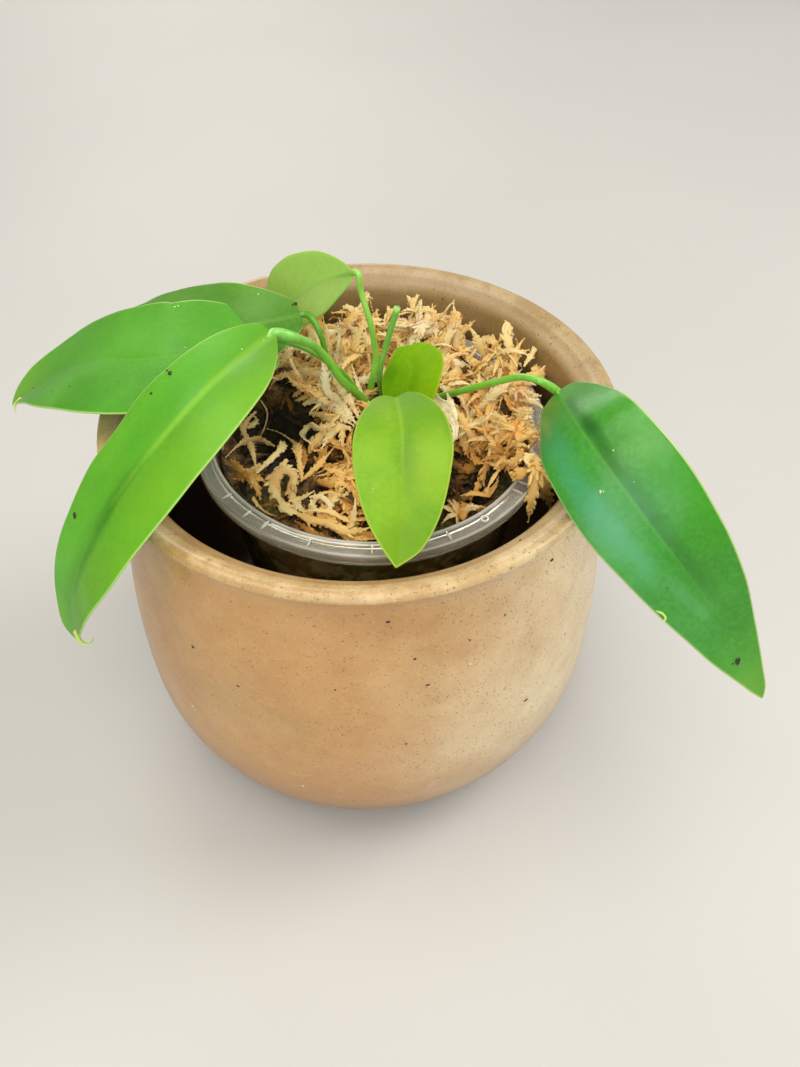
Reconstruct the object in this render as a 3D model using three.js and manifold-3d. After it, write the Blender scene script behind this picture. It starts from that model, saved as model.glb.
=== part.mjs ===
// Potted queen anthurium: a young plant with seven leaves in a clear nursery pot of
// sphagnum moss, standing inside a bellied stoneware pot.
// Millimetres, +Z up, origin at the centre of the stoneware pot's base.
import * as THREE from 'three';
import { mergeVertices } from 'three/addons/utils/BufferGeometryUtils.js';
import Module from 'manifold-3d';

const wasm = await Module();
wasm.setup();

// ---------------------------------------------------------------- driving dimensions
const POT_HEIGHT = 130;          // stoneware pot, base to rim crest
const POT_RIM_R = 75;            // outermost radius of the flared lip
const POT_BELLY_R = 80.73;       // widest radius of the belly
const POT_BELLY_Z = 38.6;        // height of the widest place
const POT_BASE_R = 66.9;         // radius where the belly meets the foot
const POT_NECK_R = 69.8;         // outer radius of the neck under the lip
const POT_NECK_Z = 117;
const POT_SEGMENTS = 48;

const CLEAR_X = 3;               // the clear pot stands 3 mm off centre
const CLEAR_RIM_Z = 120;
const CLEAR_RIM_R = 52.94;       // outer radius of its flange
const CLEAR_BORE_R = 47.04;      // inner radius at the rim
const CLEAR_BASE_R = 36.8;
const CLEAR_BASE_Z = 7.65;
const CLEAR_WALL = 1.15;
const CLEAR_SEGMENTS = 40;
const DRAIN_HOLES = 8;
const DRAIN_R = 1.8;

const CROWN = [3.3, 18.5, 111];  // top of the rootstock, where the leaf stalks rise
const CROWN_R = 5;
const STALK_RING_R = 3.75;       // the stalks stand on a ring of this radius
const STALK_R = 1.05;            // leaf stalk radius
const STALK_GAP = 0.55;

const LEAF_THICKNESS = 1.2;      // solid leaf blade; the edge tapers to a third of it
const MOSS_GAP = 0.45;           // moss to pot wall
const ROOT_GAP = 0.6;            // moss to roots
const TUFT_GAP = 1.3;            // loose tufts to the moss under them

// ---------------------------------------------------------------- small helpers
const V = (x, y, z) => new THREE.Vector3(x, y, z);
const clamp = (x, a, b) => Math.min(b, Math.max(a, x));
const smooth = (x) => { const t = clamp(x, 0, 1); return t * t * (3 - 2 * t); };

function onlyPosition(geometry) {
  const g = geometry.index ? geometry.toNonIndexed() : geometry.clone();
  for (const name of Object.keys(g.attributes)) if (name !== 'position') g.deleteAttribute(name);
  return mergeVertices(g, 1e-4);
}

function toManifold(geometry) {
  const g = onlyPosition(geometry);
  return new wasm.Manifold(new wasm.Mesh({
    numProp: 3,
    vertProperties: new Float32Array(g.attributes.position.array),
    triVerts: new Uint32Array(g.index.array),
  }));
}

function fromManifold(solid) {
  const m = solid.getMesh();
  const g = new THREE.BufferGeometry();
  const p = new Float32Array(m.numVert * 3);
  for (let i = 0; i < m.numVert; i++) for (let k = 0; k < 3; k++) p[3 * i + k] = m.vertProperties[i * m.numProp + k];
  g.setAttribute('position', new THREE.BufferAttribute(p, 3));
  g.setIndex(new THREE.BufferAttribute(new Uint32Array(m.triVerts), 1));
  return g;
}

function finish(geometry) {
  const g = geometry.index ? geometry : mergeVertices(geometry, 1e-4);
  g.computeVertexNormals();
  return g;
}

function gridGeometry(vertices, triangles) {
  const g = new THREE.BufferGeometry();
  g.setAttribute('position', new THREE.BufferAttribute(new Float32Array(vertices.flat()), 3));
  g.setIndex(triangles.flat());
  return onlyPosition(g);
}

// A lathe about +Z from a closed list of [radius, height], listed from the axis at the
// bottom, up the outside, down the inside, and back to the axis.
function lathe(profile, segments) {
  const g = new THREE.LatheGeometry(profile.map(([r, z]) => new THREE.Vector2(r, z)), segments);
  g.rotateX(Math.PI / 2);
  return onlyPosition(g);
}

function outward(geometry) {
  // Signed volume decides whether the faces must be turned.
  const p = geometry.attributes.position.array, ix = geometry.index.array;
  let vol = 0;
  for (let i = 0; i < ix.length; i += 3) {
    const a = 3 * ix[i], b = 3 * ix[i + 1], c = 3 * ix[i + 2];
    vol += p[a] * (p[b + 1] * p[c + 2] - p[b + 2] * p[c + 1])
         - p[a + 1] * (p[b] * p[c + 2] - p[b + 2] * p[c])
         + p[a + 2] * (p[b] * p[c + 1] - p[b + 1] * p[c]);
  }
  if (vol < 0) for (let i = 0; i < ix.length; i += 3) { const t = ix[i + 1]; ix[i + 1] = ix[i + 2]; ix[i + 2] = t; }
  return geometry;
}

// A round tube of constant radius along a smooth curve through the given points.
function tube(points, radius, sides = 8, steps = 14) {
  const path = new THREE.CatmullRomCurve3(points.map((p) => V(...p)), false, 'centripetal');
  const section = new THREE.Shape();
  for (let i = 0; i < sides; i++) {
    const a = (2 * Math.PI * i) / sides;
    if (i === 0) section.moveTo(radius * Math.cos(a), radius * Math.sin(a));
    else section.lineTo(radius * Math.cos(a), radius * Math.sin(a));
  }
  section.closePath();
  return outward(onlyPosition(new THREE.ExtrudeGeometry(section, { steps, bevelEnabled: false, extrudePath: path, curveSegments: 1 })));
}

// Natural cubic spline through points, parametrised by chord length.
function naturalSpline(P) {
  const n = P.length, t = [0];
  for (let i = 1; i < n; i++) t.push(t[i - 1] + Math.hypot(...P[i].map((v, k) => v - P[i - 1][k])));
  const M = [];
  for (let k = 0; k < 3; k++) {
    const a = Array(n).fill(0), b = Array(n).fill(1), c = Array(n).fill(0), d = Array(n).fill(0);
    for (let i = 1; i < n - 1; i++) {
      const h0 = t[i] - t[i - 1], h1 = t[i + 1] - t[i];
      a[i] = h0; b[i] = 2 * (h0 + h1); c[i] = h1;
      d[i] = 6 * ((P[i + 1][k] - P[i][k]) / h1 - (P[i][k] - P[i - 1][k]) / h0);
    }
    for (let i = 1; i < n; i++) { const w = a[i] / b[i - 1]; b[i] -= w * c[i - 1]; d[i] -= w * d[i - 1]; }
    const m = Array(n).fill(0);
    for (let i = n - 1; i >= 0; i--) m[i] = (d[i] - (i < n - 1 ? c[i] * m[i + 1] : 0)) / b[i];
    m[0] = 0; m[n - 1] = 0;
    M.push(m);
  }
  return (s) => {
    const x = clamp(s, 0, 1) * t[n - 1];
    let i = 0; while (i < n - 2 && x > t[i + 1]) i++;
    const h = t[i + 1] - t[i], A = (t[i + 1] - x) / h, B = (x - t[i]) / h;
    return [0, 1, 2].map((k) => A * P[i][k] + B * P[i + 1][k] + ((A ** 3 - A) * M[k][i] + (B ** 3 - B) * M[k][i + 1]) * h * h / 6);
  };
}

// Shape-preserving cubic through equally spaced values.
function monotone(y) {
  const n = y.length, h = 1 / (n - 1), d = [];
  for (let i = 0; i < n - 1; i++) d.push((y[i + 1] - y[i]) / h);
  const m = Array(n).fill(0);
  for (let i = 1; i < n - 1; i++) m[i] = d[i - 1] * d[i] > 0 ? 2 / (1 / d[i - 1] + 1 / d[i]) : 0;
  const end = (d0, d1) => {
    let v = (3 * d0 - d1) / 2;
    if (Math.sign(v) !== Math.sign(d0)) v = 0;
    else if (Math.sign(d0) !== Math.sign(d1) && Math.abs(v) > 3 * Math.abs(d0)) v = 3 * d0;
    return v;
  };
  m[0] = end(d[0], d[1]); m[n - 1] = end(d[n - 2], d[n - 3]);
  return (x) => {
    const i = clamp(Math.floor(clamp(x, 0, 1) / h), 0, n - 2), u = clamp(x, 0, 1) / h - i;
    return y[i] * (2 * u ** 3 - 3 * u * u + 1) + y[i + 1] * (3 * u * u - 2 * u ** 3)
         + h * (m[i] * (u ** 3 - 2 * u * u + u) + m[i + 1] * (u ** 3 - u * u));
  };
}

// ---------------------------------------------------------------- leaf blades
// Each blade is given by the midrib in space (base to tip), its roll and fold at the
// base, middle and tip, the downward curl per mm, the length b of the basal lobes, and
// the half widths on both sides at fixed stations.
const LOBE = [0.0, -0.55, -1.0, -0.75, 0.0];
const STATIONS = [0.10, 0.22, 0.36, 0.5, 0.64, 0.78, 0.90, 0.97, 1.0];

const LEAVES = {
  leaf_front_left: {
    mid: [[-23.22, -2.0, 152.07], [-34.46, -30.98, 157.31], [-53.73, -49.17, 143.02], [-71.65, -57.89, 116.88], [-80.96, -55.44, 85.58]],
    roll: [0.436, -0.018, 0.164], fold: [0.169, 0.04, 0.297], curl: 0.0129, b: 0.28,
    left: [0.0, 0.14, 0.35, 0.3, 1.04, 7.09, 11.93, 14.21, 14.88, 14.02, 10.08, 5.54, 1.96, 0.0],
    right: [0.0, 0.23, 1.11, 2.1, 4.01, 9.39, 12.31, 14.1, 14.2, 11.97, 9.56, 7.07, 4.65, 0.0],
    colour: 0x6cb63c, steps: 17,
  },
  leaf_left: {
    mid: [[-31.56, 11.61, 141.84], [-48.98, -2.4, 145.22], [-70.1, 0.18, 141.53], [-90.8, 10.7, 129.68], [-112.52, 16.09, 112.95]],
    roll: [0.354, 0.195, 0.295], fold: [0.159, 0.188, 0.359], curl: 0.0082, b: 0.38,
    left: [0.0, 3.18, 6.81, 9.65, 12.01, 16.94, 20.02, 20.87, 19.54, 17.33, 12.91, 7.24, 2.56, 0.0],
    right: [0.0, 3.15, 6.74, 9.63, 12.35, 17.88, 19.88, 20.3, 19.37, 16.64, 12.68, 8.51, 4.9, 0.0],
    colour: 0x5cb450, steps: 15,
  },
  leaf_back_left: {
    mid: [[-19.06, 25.47, 140.18], [-38.33, 19.25, 140.13], [-57.68, 23.1, 137.51], [-75.63, 32.69, 130.1], [-91.2, 47.11, 119.35]],
    roll: [0.568, 0.15, 0.063], fold: [0.061, 0.085, 0.113], curl: 0.0074, b: 0.26,
    left: [0.0, 0.52, 1.27, 1.8, 3.47, 10.61, 15.71, 17.86, 17.66, 16.17, 13.13, 8.81, 4.15, 0.0],
    right: [0.0, 0.6, 1.31, 1.91, 4.03, 11.51, 16.1, 17.79, 17.47, 15.93, 13.22, 9.11, 4.33, 0.0],
    colour: 0x4f9c48, steps: 14,
  },
  leaf_back: {
    mid: [[-3.24, 27.58, 152.64], [-9.7, 32.89, 148.17], [-16.9, 36.05, 142.42], [-23.96, 38.46, 135.61], [-30.42, 40.82, 127.91]],
    roll: [1.355, 1.311, 1.222], fold: [0.456, 0.421, 0.275], curl: 0.0078, b: 1.15,
    left: [0.0, 0.67, 1.85, 2.76, 3.51, 6.38, 8.97, 10.4, 10.76, 10.46, 8.77, 5.93, 3.07, 0.0],
    right: [0.0, 0.81, 1.94, 2.88, 3.96, 6.83, 9.01, 10.59, 11.59, 11.3, 9.15, 6.0, 2.96, 0.0],
    colour: 0x91c35f, steps: 11,
  },
  leaf_front: {
    mid: [[10.13, -23.36, 147.57], [11.6, -35.17, 147.57], [11.68, -46.43, 144.08], [11.49, -57.05, 138.49], [10.11, -67.29, 132.5]],
    roll: [-0.054, 0.025, 0.167], fold: [0.076, 0.093, 0.113], curl: 0.0104, b: 1.5,
    left: [0.0, 1.48, 3.38, 4.98, 6.55, 9.71, 11.5, 12.44, 11.71, 10.35, 8.08, 5.12, 1.64, 0.0],
    right: [0.0, 1.35, 3.23, 4.82, 6.31, 9.44, 11.36, 12.26, 11.79, 10.53, 8.28, 4.57, 1.52, 0.0],
    colour: 0x96c332, steps: 12,
  },
  leaf_centre: {
    mid: [[14.21, 6.76, 141.78], [14.93, -0.72, 140.8], [13.98, -7.69, 138.69], [12.57, -13.79, 134.86], [10.77, -18.83, 129.51]],
    roll: [-0.199, -0.522, -0.508], fold: [0.108, 0.17, 0.197], curl: 0.0104, b: 0.94,
    left: [0.0, 1.15, 2.49, 3.47, 4.44, 6.96, 8.79, 9.6, 9.61, 9.02, 7.32, 4.76, 2.27, 0.0],
    right: [0.0, 1.29, 2.75, 3.71, 4.3, 6.46, 8.23, 9.3, 8.9, 7.2, 5.0, 2.8, 1.3, 0.0],
    colour: 0x74a808, steps: 10,
  },
  leaf_right: {
    mid: [[53.74, -13.31, 141.59], [56.75, -39.59, 147.96], [72.31, -55.7, 133.91], [93.77, -62.53, 108.13], [114.51, -69.32, 76.42]],
    roll: [-0.763, -0.678, -0.419], fold: [-0.185, 0.067, 0.131], curl: 0.012, b: 0.38,
    left: [0.0, 1.31, 2.96, 4.02, 5.32, 10.64, 14.19, 15.45, 14.11, 11.37, 7.47, 4.32, 2.47, 0.0],
    right: [0.0, 1.37, 3.22, 4.64, 6.18, 10.58, 13.45, 14.78, 13.57, 11.8, 8.96, 4.63, 1.7, 0.0],
    colour: 0x4b9b32, steps: 17,
  },
};

function bladeSurface(leaf) {
  const n = 80, spline = naturalSpline(leaf.mid), M = [];
  for (let i = 0; i < n; i++) M.push(V(...spline(i / (n - 1))));
  const s = [0];
  for (let i = 1; i < n; i++) s.push(s[i - 1] + M[i].distanceTo(M[i - 1]));
  const T = M.map((_, i) => {
    const a = Math.max(0, i - 1), b = Math.min(n - 1, i + 1);
    return M[b].clone().sub(M[a]).normalize();
  });
  let side = T[0].clone().cross(V(0, 0, 1)).normalize();
  const B = [side.clone()];
  for (let i = 1; i < n; i++) { side = side.clone().sub(T[i].clone().multiplyScalar(side.dot(T[i]))).normalize(); B.push(side.clone()); }
  const L = s[n - 1];
  const quad = (v, x) => v[0] * 2 * (x - 0.5) * (x - 1) - v[1] * 4 * x * (x - 1) + v[2] * 2 * x * (x - 0.5);
  const frame = (u) => {
    const uc = clamp(u, 0, L);
    let i = 0; while (i < n - 2 && uc > s[i + 1]) i++;
    const f = clamp((uc - s[i]) / (s[i + 1] - s[i]), 0, 1);
    const t = T[i].clone().lerp(T[i + 1], f).normalize();
    const p = M[i].clone().lerp(M[i + 1], f).add(t.clone().multiplyScalar(u - uc));
    const b0 = B[i].clone().lerp(B[i + 1], f);
    b0.sub(t.clone().multiplyScalar(b0.dot(t))).normalize();
    const n0 = b0.clone().cross(t);
    const r = quad(leaf.roll, uc / L);
    const b = b0.clone().multiplyScalar(Math.cos(r)).add(n0.clone().multiplyScalar(Math.sin(r)));
    const nn = n0.clone().multiplyScalar(Math.cos(r)).sub(b0.clone().multiplyScalar(Math.sin(r)));
    return { p, t, b, n: nn };
  };
  const at = (u, v) => {
    const { p, b, n: nn } = frame(u);
    const a = quad(leaf.fold, clamp(u, 0, L) / L), k = leaf.curl, w = Math.abs(v);
    const x = (Math.sin(a) - Math.sin(a - k * w)) / k, y = (Math.cos(a - k * w) - Math.cos(a)) / k;
    return p.clone().add(b.multiplyScalar(Math.sign(v) * x)).add(nn.multiplyScalar(y));
  };
  const ue = [...LOBE.map((f) => f * leaf.b), ...STATIONS.map((f) => f * L)];
  const eu = monotone(ue), ev = { 1: monotone(leaf.right), [-1]: monotone(leaf.left.map((v) => -v)) };
  return { L, frame, at, edge: (sign, t) => [eu(t), ev[sign](t)] };
}

// Closed shell: an upper and a lower sheet that meet at a thin edge.
function bladeSolid(leaf) {
  const S = bladeSurface(leaf), cols = leaf.steps, rows = 3;
  const half = LEAF_THICKNESS / 2;
  // Columns are evenly spaced along the blade's edge, and the rays to them fan out of
  // the base and sweep forward along the midrib.
  const edgeAt = {};
  for (const sign of [1, -1]) {
    const pts = [], len = [0], m = 260;
    for (let i = 0; i <= m; i++) pts.push(S.edge(sign, i / m));
    for (let i = 1; i <= m; i++) len.push(len[i - 1] + Math.hypot(pts[i][0] - pts[i - 1][0], pts[i][1] - pts[i - 1][1]));
    edgeAt[sign] = (x) => {
      const d = x * len[m];
      let i = 0; while (i < m - 1 && d > len[i + 1]) i++;
      const f = clamp((d - len[i]) / Math.max(1e-9, len[i + 1] - len[i]), 0, 1);
      return [0, 1].map((k) => pts[i][k] + (pts[i + 1][k] - pts[i][k]) * f);
    };
  }
  const uv = [];            // [column][row from -rows..rows]
  for (let i = 0; i <= cols; i++) {
    const x = 0.035 + (0.985 - 0.035) * (i / cols), line = [];
    const um = S.L * clamp((x - 0.07) / 0.93, 0, 1);
    for (let j = -rows; j <= rows; j++) {
      const r = Math.abs(j) / rows, [ueg, veg] = edgeAt[j < 0 ? -1 : 1](x);
      line.push([um * (1 - r) + ueg * r, j === 0 ? 0 : veg * r, r]);
    }
    uv.push(line);
  }
  const width = 2 * rows + 1, verts = [], tris = [];
  const point = (u, v, d) => {
    const p = S.at(u, v), h = 0.4;
    const du = S.at(u + h, v).sub(S.at(u - h, v));
    const sgn = Math.abs(v) < 1e-6 ? 1 : Math.sign(v);
    const dv = S.at(u, v + sgn * h).sub(S.at(u, v)).multiplyScalar(sgn);
    const nn = dv.cross(du).normalize();
    return p.add(nn.multiplyScalar(d)).toArray();
  };
  for (const sign of [1, -1]) for (const line of uv) for (const [u, v, r] of line) {
    const taper = r > 0.99 ? 1 / 3 : 1;
    verts.push(point(u, v, sign * half * taper));
  }
  const off = (cols + 1) * width, id = (side, i, j) => (side ? off : 0) + i * width + j;
  for (let i = 0; i < cols; i++) for (let j = 0; j < width - 1; j++) {
    tris.push([id(0, i, j), id(0, i + 1, j), id(0, i + 1, j + 1)], [id(0, i, j), id(0, i + 1, j + 1), id(0, i, j + 1)]);
    tris.push([id(1, i, j), id(1, i + 1, j + 1), id(1, i + 1, j)], [id(1, i, j), id(1, i, j + 1), id(1, i + 1, j + 1)]);
  }
  const wall = (a0, a1) => tris.push([a0, a1, a1 + off], [a0, a1 + off, a0 + off]);
  for (let i = 0; i < cols; i++) { wall(id(0, i + 1, 0), id(0, i, 0)); wall(id(0, i, width - 1), id(0, i + 1, width - 1)); }
  for (let j = 0; j < width - 1; j++) { wall(id(0, 0, j), id(0, 0, j + 1)); wall(id(0, cols, j + 1), id(0, cols, j)); }
  return outward(gridGeometry(verts, tris));
}

// ---------------------------------------------------------------- leaf stalks
// Angle of the foot on the crown in degrees, the blade it carries, and the points that
// the stalk passes on the way there.
const STALKS = {
  stalk_front_left: { foot: 238, leaf: 'leaf_front_left', via: [[-6.3, 8.7, 129], [-9.2, 8.5, 135], [-12.5, 7.2, 141], [-14.9, 4.4, 145], [-18.7, 1.2, 149]] },
  stalk_left: { foot: 196, leaf: 'leaf_left', via: [[-6.2, 16.5, 125], [-9, 15.1, 129], [-13.8, 14.3, 134], [-18.2, 13.4, 137.5], [-23.2, 12.8, 140]] },
  stalk_back_left: { foot: 155, leaf: 'leaf_back_left', via: [[-10.6, 19.2, 127.5], [-12.1, 20.4, 134], [-13.1, 21, 137.5], [-14.7, 23.1, 139.8]] },
  stalk_back: { foot: 112, leaf: 'leaf_back', via: [[3.4, 21.9, 122.5], [3.8, 22.9, 127.5], [2.6, 23, 138], [-0.2, 25.6, 148]] },
  stalk_front: { foot: 280, leaf: 'leaf_front', via: [[3.6, 6, 122.5], [3.6, -5, 134], [5.8, -14.5, 143]] },
  stalk_centre: { foot: 5, leaf: 'leaf_centre', via: [[9.5, 18, 121], [12.5, 16.5, 131], [14, 12.5, 137.5]] },
  stalk_right: { foot: 322, leaf: 'leaf_right', via: [[22.6, 6.6, 124], [29.5, 1.9, 130], [34.3, -0.9, 134], [39.4, -3.8, 138], [44.2, -7.2, 142], [48.8, -12.2, 144.5]] },
};
const STUB_FOOT = 60;            // an old stalk, cut off square
const STUB_VIA = [[5.2, 16, 126.5], [7.2, 17, 135], [10.5, 17.4, 148]];
const STUB_R = 0.95;
function footPoint(angle, radius, lift) {
  const a = (angle * Math.PI) / 180;
  return [CROWN[0] + radius * Math.cos(a), CROWN[1] + radius * Math.sin(a), CROWN[2] + lift];
}
const stalkFoot = (foot) => [footPoint(foot, STALK_RING_R, STALK_GAP), footPoint(foot, STALK_RING_R * 1.12, STALK_GAP + 3.2)];
const BLADE = Object.fromEntries(Object.entries(LEAVES).map(([k, v]) => [k, bladeSurface(v)]));
function stalkPath({ foot, leaf, via }) {
  const f = BLADE[leaf].frame(0);
  const end = f.p.clone().sub(f.t.clone().multiplyScalar(LEAVES[leaf].b + 1.35)).sub(f.n.clone().multiplyScalar(0.3)).toArray();
  return [...stalkFoot(foot), ...via, end];
}

// ---------------------------------------------------------------- pots
function outerPot() {
  const out = [];
  for (const z of [5, 10, 16, 24, 31]) {
    const s = z / POT_BELLY_Z;
    out.push([POT_BASE_R + (POT_BELLY_R - POT_BASE_R) * (1 - (1 - s) ** 2.09), z]);
  }
  out.push([POT_BELLY_R, POT_BELLY_Z]);
  for (const z of [54, 70, 84, 96, 106, 112.5]) {
    const s = (z - POT_BELLY_Z) / (POT_NECK_Z - POT_BELLY_Z);
    out.push([POT_BELLY_R + (POT_NECK_R - POT_BELLY_R) * s * s, z]);
  }
  const H = POT_HEIGHT;
  const lip = [[POT_NECK_R, POT_NECK_Z + 0.5], [70.3, 121.2], [72.0, 124.6], [73.9, 126.6], [POT_RIM_R, H - 1.6], [74.3, H - 0.35], [72.6, H], [70.4, H - 0.9], [67.9, H - 2.5], [65.7, H - 4.6], [64.3, H - 8.5], [63.6, H - 13]];
  const inner = [[64.2, 111], [66.4, 104], [69.6, 92], [72.4, 76], [74.2, 58], [74.6, 42], [73.8, 30], [71.4, 20], [66, 11.5], [58, 7.4]];
  return lathe([[0, 0], [63.5, 0], [65.6, 0.5], [67.1, 2.0], ...out, ...lip, ...inner, [0, 7]], POT_SEGMENTS);
}

const clearInnerR = (z) => 35.7 + (CLEAR_BORE_R - 35.7) * (z - 9.8) / (CLEAR_RIM_Z - 2 - 9.8);
function nurseryPot() {
  const z0 = CLEAR_BASE_Z, H = CLEAR_RIM_Z;
  const profile = [[0, z0], [CLEAR_BASE_R - 1.2, z0], [CLEAR_BASE_R, z0 + 1.1], [CLEAR_BORE_R + CLEAR_WALL, H - 1.5], [51.7, H - 1.5], [51.8, H - 3.8],
    [CLEAR_RIM_R - 0.2, H - 3.9], [CLEAR_RIM_R, H - 3.5], [CLEAR_RIM_R, H - 0.5], [CLEAR_RIM_R - 0.4, H], [CLEAR_BORE_R + 0.5, H], [CLEAR_BORE_R, H - 0.4],
    [CLEAR_BORE_R, H - 2], [35.7, 9.8], [34.8, z0 + 1.3], [0, z0 + 1.3]];
  let body = toManifold(lathe(profile, CLEAR_SEGMENTS));
  for (let i = 0; i <= DRAIN_HOLES; i++) {
    const a = (2 * Math.PI * i) / DRAIN_HOLES, r = i === DRAIN_HOLES ? 0 : 26;
    const drill = new THREE.CylinderGeometry(DRAIN_R, DRAIN_R, 8, 10).rotateX(Math.PI / 2).translate(r * Math.cos(a), r * Math.sin(a), z0 + 1);
    body = body.subtract(toManifold(drill));
  }
  const g = fromManifold(body);
  g.translate(CLEAR_X, 0, 0);
  return g;
}

// ---------------------------------------------------------------- rootstock and moss
const ROOTS = [
  [[3.3, 18.5, 100], [14, 24, 92], [27, 28, 76], [33, 22, 50], [30, 16, 24]],
  [[3.3, 18.5, 94], [-6, 26, 84], [-16, 31, 66], [-19, 26, 42], [-15, 22, 20]],
  [[3.3, 18.5, 97], [-8, 12, 88], [-24, 6, 74], [-31, -4, 56], [-26, -12, 32]],
  [[3.3, 18.5, 90], [8, 8, 80], [12, -10, 66], [11, -28, 52], [8, -30, 28]],
  [[3.3, 18.5, 86], [16, 12, 74], [30, 2, 62], [36, -8, 44], [30, -12, 22]],
  [[3.3, 18.5, 84], [0, 14, 66], [-6, 2, 50], [-10, -14, 36], [-8, -20, 18]],
];
const ROOT_R = 1.5;
function rootstockSolid(extra) {
  const stem = (top) => {
    const g = new THREE.LatheGeometry([[0, -46 - extra], [2.6 + extra, -44 - extra], [4.0 + extra, -30], [4.4 + extra, -12], [CROWN_R + extra, -2], [CROWN_R + extra, top], [0, top]]
      .map(([r, z]) => new THREE.Vector2(r, z)), 12);
    g.rotateX(Math.PI / 2).translate(...CROWN);
    return toManifold(onlyPosition(g));
  };
  let body = stem(extra > 0 ? 30 : 0);
  for (const r of ROOTS) {
    const a = V(...r[r.length - 2]), b = V(...r[r.length - 1]);
    const tip = b.clone().add(b.clone().sub(a).normalize().multiplyScalar(extra * 1.3)).toArray();
    body = body.add(toManifold(tube([...r.slice(0, -1), tip], ROOT_R + extra, 6, 8)));
  }
  return body;
}

// Height of the moss surface: heaped at the back and right, a hollow at the front left
// beside the wall and a smaller one at the front right, and a dip around the crown.
function mossHeight(x, y) {
  const g = (cx, cy, s) => Math.exp(-((x - cx) ** 2 + (y - cy) ** 2) / (2 * s * s));
  return 115.2 + 2.6 * g(12, 34, 15) + 2.4 * g(36, 8, 12) - 15 * g(-27, 8, 9.5) - 7 * g(27, -20, 7.5)
    - 7.5 * g(CROWN[0], CROWN[1], 6.5) + 1.2 * g(-4, -28, 12) + 0.8 * Math.sin(x * 0.31) * Math.cos(y * 0.27);
}
function mossBed() {
  const nt = 36, rings = [0.12, 0.28, 0.44, 0.6, 0.76, 0.9, 1.0], verts = [], tris = [];
  const topR = (a) => { let r = 46; for (let k = 0; k < 4; k++) r = clearInnerR(mossHeight(CLEAR_X + r * Math.cos(a), r * Math.sin(a))) - MOSS_GAP; return r; };
  verts.push([CLEAR_X, 0, mossHeight(CLEAR_X, 0)]);
  for (const f of rings) for (let i = 0; i < nt; i++) {
    const a = (2 * Math.PI * i) / nt, r = topR(a) * f, x = CLEAR_X + r * Math.cos(a), y = r * Math.sin(a);
    verts.push([x, y, mossHeight(x, y)]);
  }
  const ring = (k) => 1 + k * nt;
  for (let i = 0; i < nt; i++) tris.push([0, ring(0) + i, ring(0) + (i + 1) % nt]);
  for (let k = 0; k < rings.length - 1; k++) for (let i = 0; i < nt; i++) {
    const a = ring(k) + i, b = ring(k) + (i + 1) % nt, c = ring(k + 1) + i, d = ring(k + 1) + (i + 1) % nt;
    tris.push([a, c, d], [a, d, b]);
  }
  const low = verts.length;
  for (let i = 0; i < nt; i++) {
    const a = (2 * Math.PI * i) / nt, r = clearInnerR(9.8) - MOSS_GAP - 0.9;
    verts.push([CLEAR_X + r * Math.cos(a), r * Math.sin(a), CLEAR_BASE_Z + 1.3 + 0.5]);
  }
  const centre = verts.length;
  verts.push([CLEAR_X, 0, CLEAR_BASE_Z + 1.3 + 0.5]);
  const last = ring(rings.length - 1);
  for (let i = 0; i < nt; i++) {
    const j = (i + 1) % nt;
    tris.push([last + i, low + i, low + j], [last + i, low + j, last + j], [centre, low + j, low + i]);
  }
  const bed = toManifold(outward(gridGeometry(verts, tris)));
  return fromManifold(bed.subtract(rootstockSolid(ROOT_GAP)));
}

// Loose tufts of moss that lie on the bed and over the clear rim.
const TUFTS = {
  moss_tuft_back: { c: [-7.4, 38], a: 12.5, b: 8, turn: 12, rise: 6.5, seed: 1 },
  moss_tuft_back_right: { c: [19, 39], a: 13, b: 8.5, turn: -14, rise: 7, seed: 2 },
  moss_tuft_right: { c: [45, 17], a: 9.5, b: 14, turn: -24, rise: 6.5, seed: 3 },
  moss_tuft_right_front: { c: [47, -18], a: 9, b: 13, turn: 24, rise: 4.5, seed: 4 },
  moss_tuft_middle_right: { c: [26, 14], a: 8.5, b: 10, turn: 0, rise: 4.5, seed: 5 },
  moss_tuft_front: { c: [-1, -30], a: 14, b: 8.5, turn: -4, rise: 4.0, seed: 6 },
  moss_tuft_front_left: { c: [-25, -19], a: 8.5, b: 7.5, turn: 30, rise: 3.2, seed: 7 },
  moss_tuft_left: { c: [-27, 27], a: 6.0, b: 7.0, turn: 40, rise: 4.5, seed: 8 },
  moss_tuft_middle_left: { c: [-6, 1], a: 8, b: 7.5, turn: 0, rise: 3.5, seed: 9 },
};
function tuftFloor(x, y) {
  const r = Math.hypot(x - CLEAR_X, y), over = CLEAR_RIM_Z + 0.7;
  const h = mossHeight(x, y) + TUFT_GAP;
  return h + (Math.max(h, over) - h) * smooth((r - 41.5) / 3.2);
}
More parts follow.
